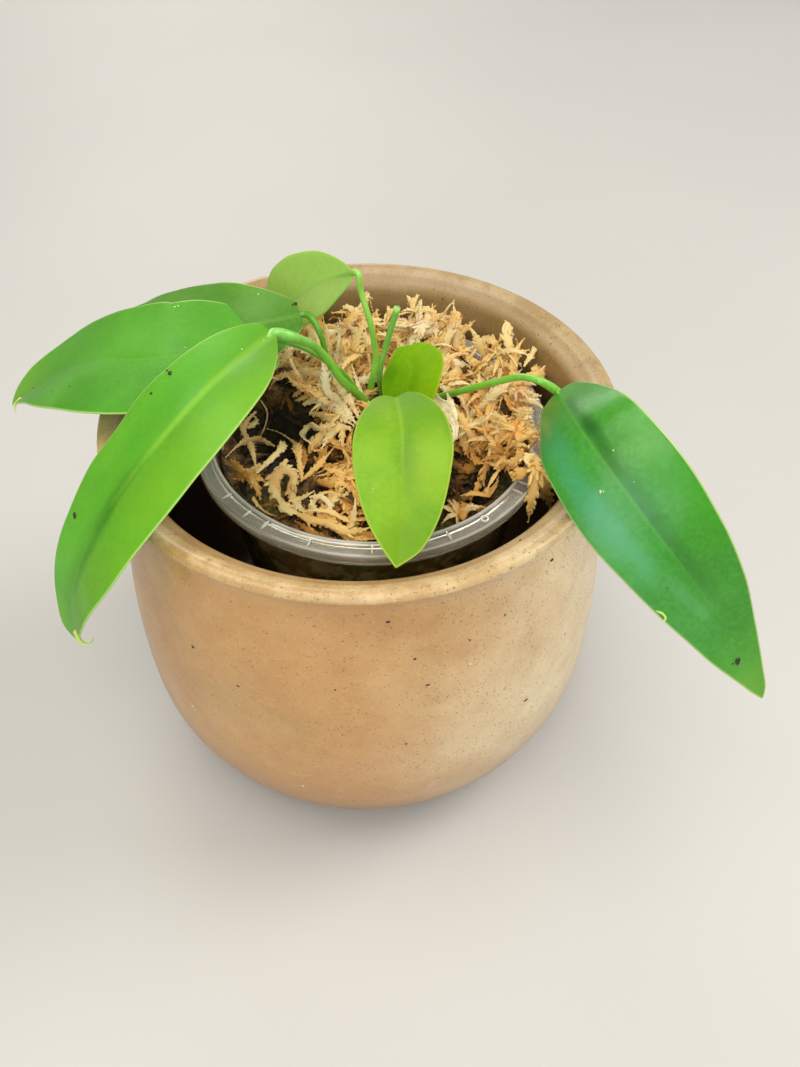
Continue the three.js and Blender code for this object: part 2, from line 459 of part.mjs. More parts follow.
function tuftSolid({ c, a, b, turn, rise, seed }) {
  const nt = 14, nr = 4, w = (turn * Math.PI) / 180, verts = [], tris = [];
  const at = (f, t) => {
    const e = f * (1 + 0.07 * Math.sin(3 * t + seed) + 0.05 * Math.sin(5 * t + 2 * seed));
    const px = a * e * Math.cos(t), py = b * e * Math.sin(t);
    return [c[0] + px * Math.cos(w) - py * Math.sin(w), c[1] + px * Math.sin(w) + py * Math.cos(w)];
  };
  const top = (f, x, y) => 0.9 + rise * Math.sqrt(Math.max(0, 1 - f * f)) * (1 + 0.16 * Math.sin(0.9 * x + seed) * Math.cos(0.8 * y - seed));
  for (const side of [1, 0]) {
    const [x, y] = at(0, 0);
    verts.push([x, y, tuftFloor(x, y) + (side ? top(0, x, y) : 0)]);
    for (let k = 1; k <= nr; k++) for (let i = 0; i < nt; i++) {
      const f = k / nr, [px, py] = at(f, (2 * Math.PI * i) / nt);
      verts.push([px, py, tuftFloor(px, py) + (side ? top(f, px, py) : 0)]);
    }
  }
  const n = 1 + nr * nt, q = (side, k, i) => (side ? 0 : n) + 1 + (k - 1) * nt + (i % nt);
  for (const side of [1, 0]) {
    const push = (x, y, z) => tris.push(side ? [x, y, z] : [x, z, y]);
    for (let i = 0; i < nt; i++) push(side ? 0 : n, q(side, 1, i), q(side, 1, i + 1));
    for (let k = 1; k < nr; k++) for (let i = 0; i < nt; i++) {
      push(q(side, k, i), q(side, k + 1, i), q(side, k + 1, i + 1));
      push(q(side, k, i), q(side, k + 1, i + 1), q(side, k, i + 1));
    }
  }
  for (let i = 0; i < nt; i++) tris.push([q(1, nr, i), q(0, nr, i), q(0, nr, i + 1)], [q(1, nr, i), q(0, nr, i + 1), q(1, nr, i + 1)]);
  return outward(gridGeometry(verts, tris));
}

// A dry papery leaf sheath standing at the foot of the front leaf.
function sheathSolid() {
  const path = new THREE.CatmullRomCurve3([V(18.4, 3.6, 128.6), V(21.4, 2.8, 125.8), V(25.0, 0.0, 122.8), V(28.4, -2.2, 120.4), V(28.0, -8.0, 118.6)]);
  const w = 1.5, h = 0.3, section = new THREE.Shape();
  section.moveTo(-h, -w); section.lineTo(h, -w); section.lineTo(h, w); section.lineTo(-h, w); section.closePath();
  return outward(onlyPosition(new THREE.ExtrudeGeometry(section, { steps: 10, bevelEnabled: false, extrudePath: path })));
}

// ---------------------------------------------------------------- the object
const group = new THREE.Group();
function add(name, geometry, colour, roughness, metalness = 0, extra = {}) {
  const mesh = new THREE.Mesh(finish(geometry), new THREE.MeshStandardMaterial({ color: colour, roughness, metalness, ...extra }));
  mesh.name = name;
  group.add(mesh);
}

add('outer_pot', outerPot(), 0xc9a87a, 0.45);
add('nursery_pot', nurseryPot(), 0xc8cbc6, 0.15, 0, { transparent: true, opacity: 0.4 });
add('rootstock', fromManifold(rootstockSolid(0)), 0x8a8f52, 0.6);
add('moss_bed', mossBed(), 0x7d6237, 0.95);
for (const [name, t] of Object.entries(TUFTS)) add(name, tuftSolid(t), 0xdcb878, 0.95);
for (const [name, leaf] of Object.entries(LEAVES)) add(name, bladeSolid(leaf), leaf.colour, 0.4);
for (const [name, s] of Object.entries(STALKS)) add(name, tube(stalkPath(s), STALK_R, 7, 12), 0x86bf5c, 0.45);
add('cut_stalk_stub', tube([...stalkFoot(STUB_FOOT), ...STUB_VIA], STUB_R, 8, 9), 0x6fa044, 0.5);
add('dry_leaf_sheath', sheathSolid(), 0xe6d6a8, 0.8);

export default group;
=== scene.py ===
# Potted queen anthurium: seven leaves on slim stalks, a clear nursery pot of sphagnum moss,
# and the bellied stoneware pot round it. Lengths below are in millimetres and are turned
# into metres when a mesh is made. +Z is up and the origin is the centre of the pot's base.
import math
import bpy
import numpy as np
from mathutils import Matrix, Vector, noise


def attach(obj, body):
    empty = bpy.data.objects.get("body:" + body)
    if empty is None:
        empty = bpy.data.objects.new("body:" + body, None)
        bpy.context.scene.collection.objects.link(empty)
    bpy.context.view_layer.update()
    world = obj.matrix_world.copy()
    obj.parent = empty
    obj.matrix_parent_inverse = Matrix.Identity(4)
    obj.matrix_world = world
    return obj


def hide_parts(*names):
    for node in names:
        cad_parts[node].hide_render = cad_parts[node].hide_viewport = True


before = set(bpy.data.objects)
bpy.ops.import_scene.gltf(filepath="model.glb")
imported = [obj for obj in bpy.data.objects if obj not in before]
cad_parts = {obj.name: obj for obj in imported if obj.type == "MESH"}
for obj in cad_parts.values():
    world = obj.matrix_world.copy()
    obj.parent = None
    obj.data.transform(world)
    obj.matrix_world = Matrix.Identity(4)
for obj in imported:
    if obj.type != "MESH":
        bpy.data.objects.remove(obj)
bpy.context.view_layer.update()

MM = 0.001
RNG = np.random.default_rng(7)

# ------------------------------------------------------------------ camera
EYE = np.array([9.871, -185.571, 277.681])
CAM_R = np.array([0.99997933, -0.00371383, 0.00524929])
CAM_U = np.array([-7.15169798e-4, 0.747048697, 0.664768932])
CAM_F = np.array([6.39031e-3, 0.66475894, -0.7470306])
FOCAL, PIC_W, PIC_H = 800.776, 800.0, 1067.0


def project(p):
    d = np.asarray(p, float) - EYE
    z = d @ CAM_F
    return np.stack([PIC_W / 2 + FOCAL * (d @ CAM_R) / z, PIC_H / 2 - FOCAL * (d @ CAM_U) / z], -1)


def ray(px, py):
    return CAM_F + CAM_R * ((px - PIC_W / 2) / FOCAL) - CAM_U * ((py - PIC_H / 2) / FOCAL)


def at_height(px, py, z):
    r = ray(px, py)
    return EYE + r * ((z - EYE[2]) / r[2])


cam_data = bpy.data.cameras.new("camera")
cam = bpy.data.objects.new("camera", cam_data)
bpy.context.scene.collection.objects.link(cam)
rot = Matrix((tuple(CAM_R), tuple(CAM_U), tuple(-CAM_F))).transposed()
cam.matrix_world = Matrix.Translation(Vector(EYE * MM)) @ rot.to_4x4()
cam_data.sensor_width = 36.0
cam_data.lens = FOCAL / PIC_H * 36.0
cam_data.clip_start, cam_data.clip_end = 0.01, 20.0
bpy.context.scene.camera = cam


# ------------------------------------------------------------------ mesh helpers
def build_mesh(name, verts, tris=None, quads=None, attrs=None, smooth=True, mat_index=None):
    """A mesh from arrays: vertices in mm, triangles, quads, and per-vertex float attributes."""
    verts = np.asarray(verts, np.float64) * MM
    tris = np.zeros((0, 3), np.int64) if tris is None else np.asarray(tris, np.int64).reshape(-1, 3)
    quads = np.zeros((0, 4), np.int64) if quads is None else np.asarray(quads, np.int64).reshape(-1, 4)
    me = bpy.data.meshes.new(name)
    me.vertices.add(len(verts))
    me.vertices.foreach_set("co", verts.astype(np.float32).ravel())
    loops = np.concatenate([tris.ravel(), quads.ravel()])
    me.loops.add(len(loops))
    me.loops.foreach_set("vertex_index", loops.astype(np.int32))
    n = len(tris) + len(quads)
    start = np.concatenate([np.arange(len(tris)) * 3, len(tris) * 3 + np.arange(len(quads)) * 4])
    me.polygons.add(n)
    me.polygons.foreach_set("loop_start", start.astype(np.int32))
    me.update(calc_edges=True)
    me.polygons.foreach_set("use_smooth", np.full(n, smooth))
    if mat_index is not None:
        me.polygons.foreach_set("material_index", np.asarray(mat_index, np.int32))
    for key, values in (attrs or {}).items():
        a = me.attributes.new(key, "FLOAT", "POINT")
        a.data.foreach_set("value", np.asarray(values, np.float32))
    me.validate()
    return me


def add_piece(name, me, material, replaces=()):
    ob = bpy.data.objects.new(name, me)
    bpy.context.scene.collection.objects.link(ob)
    if material is not None and not me.materials:
        me.materials.append(material)
    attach(ob, "root")
    if replaces:
        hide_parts(*replaces)
    return ob


def unit(a):
    return a / np.maximum(np.linalg.norm(a, axis=-1, keepdims=True), 1e-12)


def grid_quads(rows, cols, wrap=False, flip=False):
    i, j = np.meshgrid(np.arange(rows - 1), np.arange(cols if wrap else cols - 1), indexing="ij")
    j2 = (j + 1) % cols
    q = np.stack([i * cols + j, (i + 1) * cols + j, (i + 1) * cols + j2, i * cols + j2], -1).reshape(-1, 4)
    return q[:, ::-1] if flip else q


def catmull(points, per, closed=False):
    """Smooth centripetal curve through points; per is the number of steps in each span."""
    p = np.asarray(points, float)
    p = np.vstack([2 * p[0] - p[1], p, 2 * p[-1] - p[-2]])
    out = []
    steps = per if hasattr(per, "__len__") else [per] * (len(p) - 3)
    for k in range(len(p) - 3):
        p0, p1, p2, p3 = p[k:k + 4]
        t0 = 0.0
        t1 = t0 + max(np.linalg.norm(p1 - p0), 1e-6) ** 0.5
        t2 = t1 + max(np.linalg.norm(p2 - p1), 1e-6) ** 0.5
        t3 = t2 + max(np.linalg.norm(p3 - p2), 1e-6) ** 0.5
        for t in np.linspace(t1, t2, steps[k], endpoint=False):
            a1 = (t1 - t) / (t1 - t0) * p0 + (t - t0) / (t1 - t0) * p1
            a2 = (t2 - t) / (t2 - t1) * p1 + (t - t1) / (t2 - t1) * p2
            a3 = (t3 - t) / (t3 - t2) * p2 + (t - t2) / (t3 - t2) * p3
            b1 = (t2 - t) / (t2 - t0) * a1 + (t - t0) / (t2 - t0) * a2
            b2 = (t3 - t) / (t3 - t1) * a2 + (t - t1) / (t3 - t1) * a3
            out.append((t2 - t) / (t2 - t1) * b1 + (t - t1) / (t2 - t1) * b2)
    out.append(p[-2])
    return np.array(out)


def frames_along(p, up=(0, 0, 1)):
    """Tangent, side and normal along a polyline, turning as little as possible."""
    t = unit(np.gradient(p, axis=0))
    b = np.cross(t[0], up)
    if np.linalg.norm(b) < 1e-3:
        b = np.cross(t[0], (1, 0, 0))
    b = b / np.linalg.norm(b)
    side = [b]
    for i in range(1, len(p)):
        b = side[-1] - t[i] * (side[-1] @ t[i])
        side.append(b / np.linalg.norm(b))
    side = np.array(side)
    return t, side, np.cross(side, t)


def tube_arrays(path, radius, sides=10, flat=None, round_ends=True, frame_=None):
    """Closed tube along path; radius per point; flat squeezes it along its normal."""
    p = np.asarray(path, float)
    r = np.broadcast_to(np.asarray(radius, float), len(p)).copy()
    t, b, n = frames_along(p) if frame_ is None else frame_
    if round_ends:
        # Two shrinking rings close each end like a dome.
        def dome(i, sign):
            return [(p[i] + t[i] * sign * r[i] * h, r[i] * w, i) for h, w in ((0.55, 0.83), (0.9, 0.42))]
        head = dome(0, -1)[::-1]
        tail = dome(len(p) - 1, 1)
    else:
        head, tail = [], []
    rings = [(c, q, i) for c, q, i in head] + [(p[i], r[i], i) for i in range(len(p))] + [(c, q, i) for c, q, i in tail]
    a = np.linspace(0, 2 * np.pi, sides, endpoint=False)
    f = 1.0 if flat is None else flat
    verts, along = [], []
    for c, q, i in rings:
        fi = f if np.isscalar(f) else f[i]
        verts.append(c + q * (np.cos(a)[:, None] * b[i] + fi * np.sin(a)[:, None] * n[i]))
        along.append(np.full(sides, i / (len(p) - 1)))
    verts = np.concatenate(verts)
    along = np.concatenate(along)
    quads = grid_quads(len(rings), sides, wrap=True, flip=True)
    m = len(verts)
    verts = np.vstack([verts, rings[0][0] - t[0] * rings[0][1] * 0.3, rings[-1][0] + t[-1] * rings[-1][1] * 0.3])
    along = np.append(along, [0.0, 1.0])
    k = np.arange(sides)
    k2 = (k + 1) % sides
    base = (len(rings) - 1) * sides
    tris = np.vstack([np.stack([np.full(sides, m), k, k2], -1), np.stack([np.full(sides, m + 1), base + k2, base + k], -1)])
    tris = tris[:, ::-1]
    return verts, tris, quads, along


def join_arrays(parts):
    """Joins (verts, tris, quads, attrs) parts into one."""
    off, V, T, Q, A = 0, [], [], [], {}
    for v, t, q, a in parts:
        V.append(v)
        T.append(np.asarray(t, np.int64).reshape(-1, 3) + off)
        Q.append(np.asarray(q, np.int64).reshape(-1, 4) + off)
        for key, val in a.items():
            A.setdefault(key, []).append(np.broadcast_to(val, len(v)))
        off += len(v)
    return np.vstack(V), np.vstack(T), np.vstack(Q), {k: np.concatenate(x) for k, x in A.items()}


def wobble(p, scale, seed=0.0):
    """Smooth noise from -1 to 1 at points in mm."""
    q = np.asarray(p, float) / scale + seed
    return np.array([noise.noise(Vector(x)) for x in q.reshape(-1, 3)]).reshape(q.shape[:-1])


# ------------------------------------------------------------------ node helpers
class Tree:
    def __init__(self, name):
        self.mat = bpy.data.materials.new(name)
        self.mat.use_nodes = True
        self.nodes, self.links = self.mat.node_tree.nodes, self.mat.node_tree.links
        self.nodes.clear()
        self.out = self.nodes.new("ShaderNodeOutputMaterial")
        self.obj = self.nodes.new("ShaderNodeTexCoord").outputs["Object"]

    def put(self, socket, value):
        if isinstance(value, bpy.types.NodeSocket):
            self.links.new(value, socket)
        elif hasattr(value, "__len__") and len(value) == 3 and socket.type == "RGBA":
            socket.default_value = (*value, 1.0)
        else:
            socket.default_value = value

    def attr(self, name):
        n = self.nodes.new("ShaderNodeAttribute")
        n.attribute_name = name
        return n.outputs["Fac"]

    def math(self, op, a, b=0.0, c=0.0, clamp=False):
        n = self.nodes.new("ShaderNodeMath")
        n.operation, n.use_clamp = op, clamp
        for s, v in zip(n.inputs, (a, b, c)):
            self.put(s, v)
        return n.outputs[0]

    def vmath(self, op, a, b=(0, 0, 0), scale=None):
        n = self.nodes.new("ShaderNodeVectorMath")
        n.operation = op
        self.put(n.inputs[0], a)
        self.put(n.inputs[1], b)
        if scale is not None:
            self.put(n.inputs["Scale"], scale)
        return n.outputs[0]

    def stretch(self, vec, s):
        n = self.nodes.new("ShaderNodeMapping")
        self.put(n.inputs["Vector"], vec)
        n.inputs["Scale"].default_value = s
        return n.outputs[0]

    def noise(self, scale, detail=3.0, rough=0.55, vec=None, dist=0.0, colour=False):
        n = self.nodes.new("ShaderNodeTexNoise")
        self.put(n.inputs["Vector"], self.obj if vec is None else vec)
        n.inputs["Scale"].default_value = scale
        n.inputs["Detail"].default_value = detail
        n.inputs["Roughness"].default_value = rough
        n.inputs["Distortion"].default_value = dist
        return n.outputs[1 if colour else 0]

    def voronoi(self, scale, vec=None, feature="F1", out="Distance", rand=1.0):
        n = self.nodes.new("ShaderNodeTexVoronoi")
        n.feature = feature
        self.put(n.inputs["Vector"], self.obj if vec is None else vec)
        n.inputs["Scale"].default_value = scale
        n.inputs["Randomness"].default_value = rand
        return n.outputs[out]

    def ramp(self, fac, stops, interp="LINEAR"):
        n = self.nodes.new("ShaderNodeValToRGB")
        n.color_ramp.interpolation = interp
        e = n.color_ramp.elements
        while len(e) < len(stops):
            e.new(0.5)
        for k, (pos, col) in enumerate(stops):
            e[k].position = pos
            e[k].color = (*col, 1.0) if hasattr(col, "__len__") else (col, col, col, 1.0)
        self.put(n.inputs[0], fac)
        return n.outputs[0]

    def smooth(self, value, lo, hi, a=0.0, b=1.0):
        n = self.nodes.new("ShaderNodeMapRange")
        n.interpolation_type = "SMOOTHSTEP"
        for key, v in (("Value", value), ("From Min", lo), ("From Max", hi), ("To Min", a), ("To Max", b)):
            self.put(n.inputs[key], v)
        return n.outputs[0]

    def mix(self, fac, a, b, mode="MIX"):
        n = self.nodes.new("ShaderNodeMix")
        n.data_type, n.blend_type = "RGBA", mode
        self.put(n.inputs[0], fac)
        self.put(n.inputs[6], a)
        self.put(n.inputs[7], b)
        return n.outputs[2]

    def bump(self, height, strength=0.3, distance=0.001, normal=None):
        n = self.nodes.new("ShaderNodeBump")
        self.put(n.inputs["Height"], height)
        n.inputs["Strength"].default_value = strength
        n.inputs["Distance"].default_value = distance
        if normal is not None:
            self.put(n.inputs["Normal"], normal)
        return n.outputs[0]

    def principled(self, **kw):
        n = self.nodes.new("ShaderNodeBsdfPrincipled")
        for key, v in kw.items():
            self.put(n.inputs[key.replace("_", " ")], v)
        self.links.new(n.outputs[0], self.out.inputs["Surface"])
        return n


def srgb(r, g, b):
    """Linear colour from display values of 0 to 255."""
    return tuple(((c / 255) / 12.92 if c / 255 <= 0.04045 else ((c / 255 + 0.055) / 1.055) ** 2.4) for c in (r, g, b))


# ------------------------------------------------------------------ leaf blades
LOBE = np.array([0.0, -0.55, -1.0, -0.75, 0.0])
STATIONS = np.array([0.10, 0.22, 0.36, 0.5, 0.64, 0.78, 0.90, 0.97, 1.0])
LEAVES = {
    "leaf_front_left": dict(
        mid=[[-23.22, -2.0, 152.07], [-34.46, -30.98, 157.31], [-53.73, -49.17, 143.02], [-71.65, -57.89, 116.88], [-80.96, -55.44, 85.58]],
        roll=[0.436, -0.018, 0.164], fold=[0.169, 0.04, 0.297], curl=0.0129, b=0.28,
        left=[0.0, 0.14, 0.35, 0.3, 1.04, 7.09, 11.93, 14.21, 14.88, 14.02, 10.08, 5.54, 1.96, 0.0],
        right=[0.0, 0.23, 1.11, 2.1, 4.01, 9.39, 12.31, 14.1, 14.2, 11.97, 9.56, 7.07, 4.65, 0.0]),
    "leaf_left": dict(
        mid=[[-31.56, 11.61, 141.84], [-48.98, -2.4, 145.22], [-70.1, 0.18, 141.53], [-90.8, 10.7, 129.68], [-112.52, 16.09, 112.95]],
        roll=[0.354, 0.195, 0.295], fold=[0.159, 0.188, 0.359], curl=0.0082, b=0.38,
        left=[0.0, 3.18, 6.81, 9.65, 12.01, 16.94, 20.02, 20.87, 19.54, 17.33, 12.91, 7.24, 2.56, 0.0],
        right=[0.0, 3.15, 6.74, 9.63, 12.35, 17.88, 19.88, 20.3, 19.37, 16.64, 12.68, 8.51, 4.9, 0.0]),
    "leaf_back_left": dict(
        mid=[[-19.06, 25.47, 140.18], [-38.33, 19.25, 140.13], [-57.68, 23.1, 137.51], [-75.63, 32.69, 130.1], [-91.2, 47.11, 119.35]],
        roll=[0.568, 0.15, 0.063], fold=[0.061, 0.085, 0.113], curl=0.0074, b=0.26,
        left=[0.0, 0.52, 1.27, 1.8, 3.47, 10.61, 15.71, 17.86, 17.66, 16.17, 13.13, 8.81, 4.15, 0.0],
        right=[0.0, 0.6, 1.31, 1.91, 4.03, 11.51, 16.1, 17.79, 17.47, 15.93, 13.22, 9.11, 4.33, 0.0]),
    "leaf_back": dict(
        mid=[[-3.24, 27.58, 152.64], [-9.7, 32.89, 148.17], [-16.9, 36.05, 142.42], [-23.96, 38.46, 135.61], [-30.42, 40.82, 127.91]],
        roll=[1.355, 1.311, 1.222], fold=[0.456, 0.421, 0.275], curl=0.0078, b=1.15,
        left=[0.0, 0.67, 1.85, 2.76, 3.51, 6.38, 8.97, 10.4, 10.76, 10.46, 8.77, 5.93, 3.07, 0.0],
        right=[0.0, 0.81, 1.94, 2.88, 3.96, 6.83, 9.01, 10.59, 11.59, 11.3, 9.15, 6.0, 2.96, 0.0]),
    "leaf_front": dict(
        mid=[[10.13, -23.36, 147.57], [11.6, -35.17, 147.57], [11.68, -46.43, 144.08], [11.49, -57.05, 138.49], [10.11, -67.29, 132.5]],
        roll=[-0.054, 0.025, 0.167], fold=[0.076, 0.093, 0.113], curl=0.0104, b=1.5,
        left=[0.0, 1.48, 3.38, 4.98, 6.55, 9.71, 11.5, 12.44, 11.71, 10.35, 8.08, 5.12, 1.64, 0.0],
        right=[0.0, 1.35, 3.23, 4.82, 6.31, 9.44, 11.36, 12.26, 11.79, 10.53, 8.28, 4.57, 1.52, 0.0]),
    "leaf_centre": dict(
        mid=[[14.21, 6.76, 141.78], [14.93, -0.72, 140.8], [13.98, -7.69, 138.69], [12.57, -13.79, 134.86], [10.77, -18.83, 129.51]],
        roll=[-0.199, -0.522, -0.508], fold=[0.08, 0.10, 0.12], curl=0.0104, b=0.94, lobe=[-0.9, -0.94, -1.0, -0.75, 0.0],
        left=[0.0, 1.15, 2.49, 3.47, 4.44, 6.96, 8.79, 9.6, 9.61, 9.02, 7.32, 4.76, 2.27, 0.0],
        right=[0.0, 1.29, 2.75, 3.71, 4.3, 6.46, 8.23, 9.3, 8.9, 7.2, 5.0, 2.8, 1.3, 0.0]),
    "leaf_right": dict(
        mid=[[53.74, -13.31, 141.59], [56.75, -39.59, 147.96], [72.31, -55.7, 133.91], [93.77, -62.53, 108.13], [114.51, -69.32, 76.42]],
        roll=[-0.763, -0.678, -0.419], fold=[-0.185, 0.067, 0.131], curl=0.012, b=0.38,
        left=[0.0, 1.31, 2.96, 4.02, 5.32, 10.64, 14.19, 15.45, 14.11, 11.37, 7.47, 4.32, 2.47, 0.0],
        right=[0.0, 1.37, 3.22, 4.64, 6.18, 10.58, 13.45, 14.78, 13.57, 11.8, 8.96, 4.63, 1.7, 0.0]),
}


def natural_spline(P, n):
    P = np.asarray(P, float)
    t = np.r_[0, np.cumsum(np.linalg.norm(np.diff(P, axis=0), axis=1))]
    m, h = len(P), np.diff(t)
    A, rhs = np.eye(m), np.zeros((m, 3))
    for i in range(1, m - 1):
        A[i, i - 1], A[i, i], A[i, i + 1] = h[i - 1], 2 * (h[i - 1] + h[i]), h[i]
        rhs[i] = 6 * ((P[i + 1] - P[i]) / h[i] - (P[i] - P[i - 1]) / h[i - 1])
    M = np.linalg.solve(A, rhs)
    x = np.linspace(0, t[-1], n)
    i = np.clip(np.searchsorted(t, x, side="right") - 1, 0, m - 2)
    H, a = h[i][:, None], ((t[i + 1] - x) / h[i])[:, None]
    b = 1 - a
    return a * P[i] + b * P[i + 1] + ((a ** 3 - a) * M[i] + (b ** 3 - b) * M[i + 1]) * H * H / 6


def monotone(y, x):
    """Shape-preserving cubic through equally spaced values."""
    y = np.asarray(y, float)
    n, h = len(y), 1 / (len(y) - 1)
    d = np.diff(y) / h
    m = np.zeros(n)
    for i in range(1, n - 1):
        m[i] = 2 / (1 / d[i - 1] + 1 / d[i]) if d[i - 1] * d[i] > 0 else 0

    def end(d0, d1):
        v = (3 * d0 - d1) / 2
        if np.sign(v) != np.sign(d0):
            return 0.0
        if np.sign(d0) != np.sign(d1) and abs(v) > 3 * abs(d0):
            return 3 * d0
        return v
    m[0], m[-1] = end(d[0], d[1]), end(d[-1], d[-2])
    x = np.clip(x, 0, 1)
    i = np.clip((x / h).astype(int), 0, n - 2)
    u = x / h - i
    return y[i] * (2 * u ** 3 - 3 * u * u + 1) + y[i + 1] * (3 * u * u - 2 * u ** 3) + h * (m[i] * (u ** 3 - 2 * u * u + u) + m[i + 1] * (u ** 3 - u * u))


class Blade:
    def __init__(self, leaf):
        n = 160
        self.leaf = leaf
        self.M = natural_spline(leaf["mid"], n)
        self.s = np.r_[0, np.cumsum(np.linalg.norm(np.diff(self.M, axis=0), axis=1))]
        self.L = self.s[-1]
        T = np.gradient(self.M, self.s, axis=0)
        self.T = unit(T)
        b = np.cross(self.T[0], (0, 0, 1.0))
        b /= np.linalg.norm(b)
        B = [b]
        for i in range(1, n):
            b = B[-1] - self.T[i] * (B[-1] @ self.T[i])
            B.append(b / np.linalg.norm(b))
        self.B = np.array(B)

    def quad(self, v, x):
        return v[0] * 2 * (x - 0.5) * (x - 1) - v[1] * 4 * x * (x - 1) + v[2] * 2 * x * (x - 0.5)

    def frame(self, u):
        u = np.asarray(u, float)
        uc = np.clip(u, 0, self.L)
        pick = lambda a: np.stack([np.interp(uc, self.s, a[:, k]) for k in range(3)], -1)
        T = unit(pick(self.T))
        P = pick(self.M) + T * (u - uc)[..., None]
        B = pick(self.B)
        B = unit(B - T * (B * T).sum(-1, keepdims=True))
        N = np.cross(B, T)
        r = self.quad(self.leaf["roll"], uc / self.L)[..., None]
        return P, T, B * np.cos(r) + N * np.sin(r), N * np.cos(r) - B * np.sin(r)

    def at(self, u, v):
        """Point and unit normal of the blade's middle surface; the normal looks up."""
        P, T, B, N = self.frame(u)
        a, k, w = self.quad(self.leaf["fold"], np.clip(u, 0, self.L) / self.L), self.leaf["curl"], np.abs(v)
        x, y = (np.sin(a) - np.sin(a - k * w)) / k, (np.cos(a - k * w) - np.cos(a)) / k
        s = np.sign(v)
        tilt = a - k * w
        p = P + B * (s * x)[..., None] + N * y[..., None]
        n = N * np.cos(tilt)[..., None] - B * (s * np.sin(tilt))[..., None]
        return p, n

    def edge(self, sign, m=900):
        t = np.linspace(0, 1, m)
        u = monotone(np.r_[np.asarray(self.leaf.get("lobe", LOBE)) * self.leaf["b"], STATIONS * self.L], t)
        v = monotone(self.leaf["right"], t) if sign > 0 else -monotone(self.leaf["left"], t)
        return u, v


def blade_grid(S, cols, rows, x0=0.0, x1=1.0):
    """Blade coordinates on a grid: columns evenly spaced along the edge, rows across."""
    f = np.linspace(0, 1, rows + 1)
    f = 1 - (1 - f) ** 1.25                    # rows are closer together near the edge
    U, Vv = np.zeros((cols + 1, 2 * rows + 1)), np.zeros((cols + 1, 2 * rows + 1))
    x = np.linspace(x0, x1, cols + 1)
    um = S.L * np.clip((x - 0.07) / 0.93, 0, 1)
    for sign in (1, -1):
        eu, ev = S.edge(sign)
        d = np.r_[0, np.cumsum(np.hypot(np.diff(eu), np.diff(ev)))]
        ue, ve = np.interp(x * d[-1], d, eu), np.interp(x * d[-1], d, ev)
        for k, r in enumerate(f):
            j = rows + sign * k
            U[:, j] = um * (1 - r) + ue * r
            Vv[:, j] = ve * r
    return U, Vv, np.r_[f[::-1], f[1:]]


def half_width(S, u, sign):
    eu, ev = S.edge(sign)
    k = np.argmax(eu > 0.02 * S.L)
    return np.interp(u, eu[k:], np.abs(ev[k:]), left=abs(ev[k]))


BLADES, TOPS = {}, {}


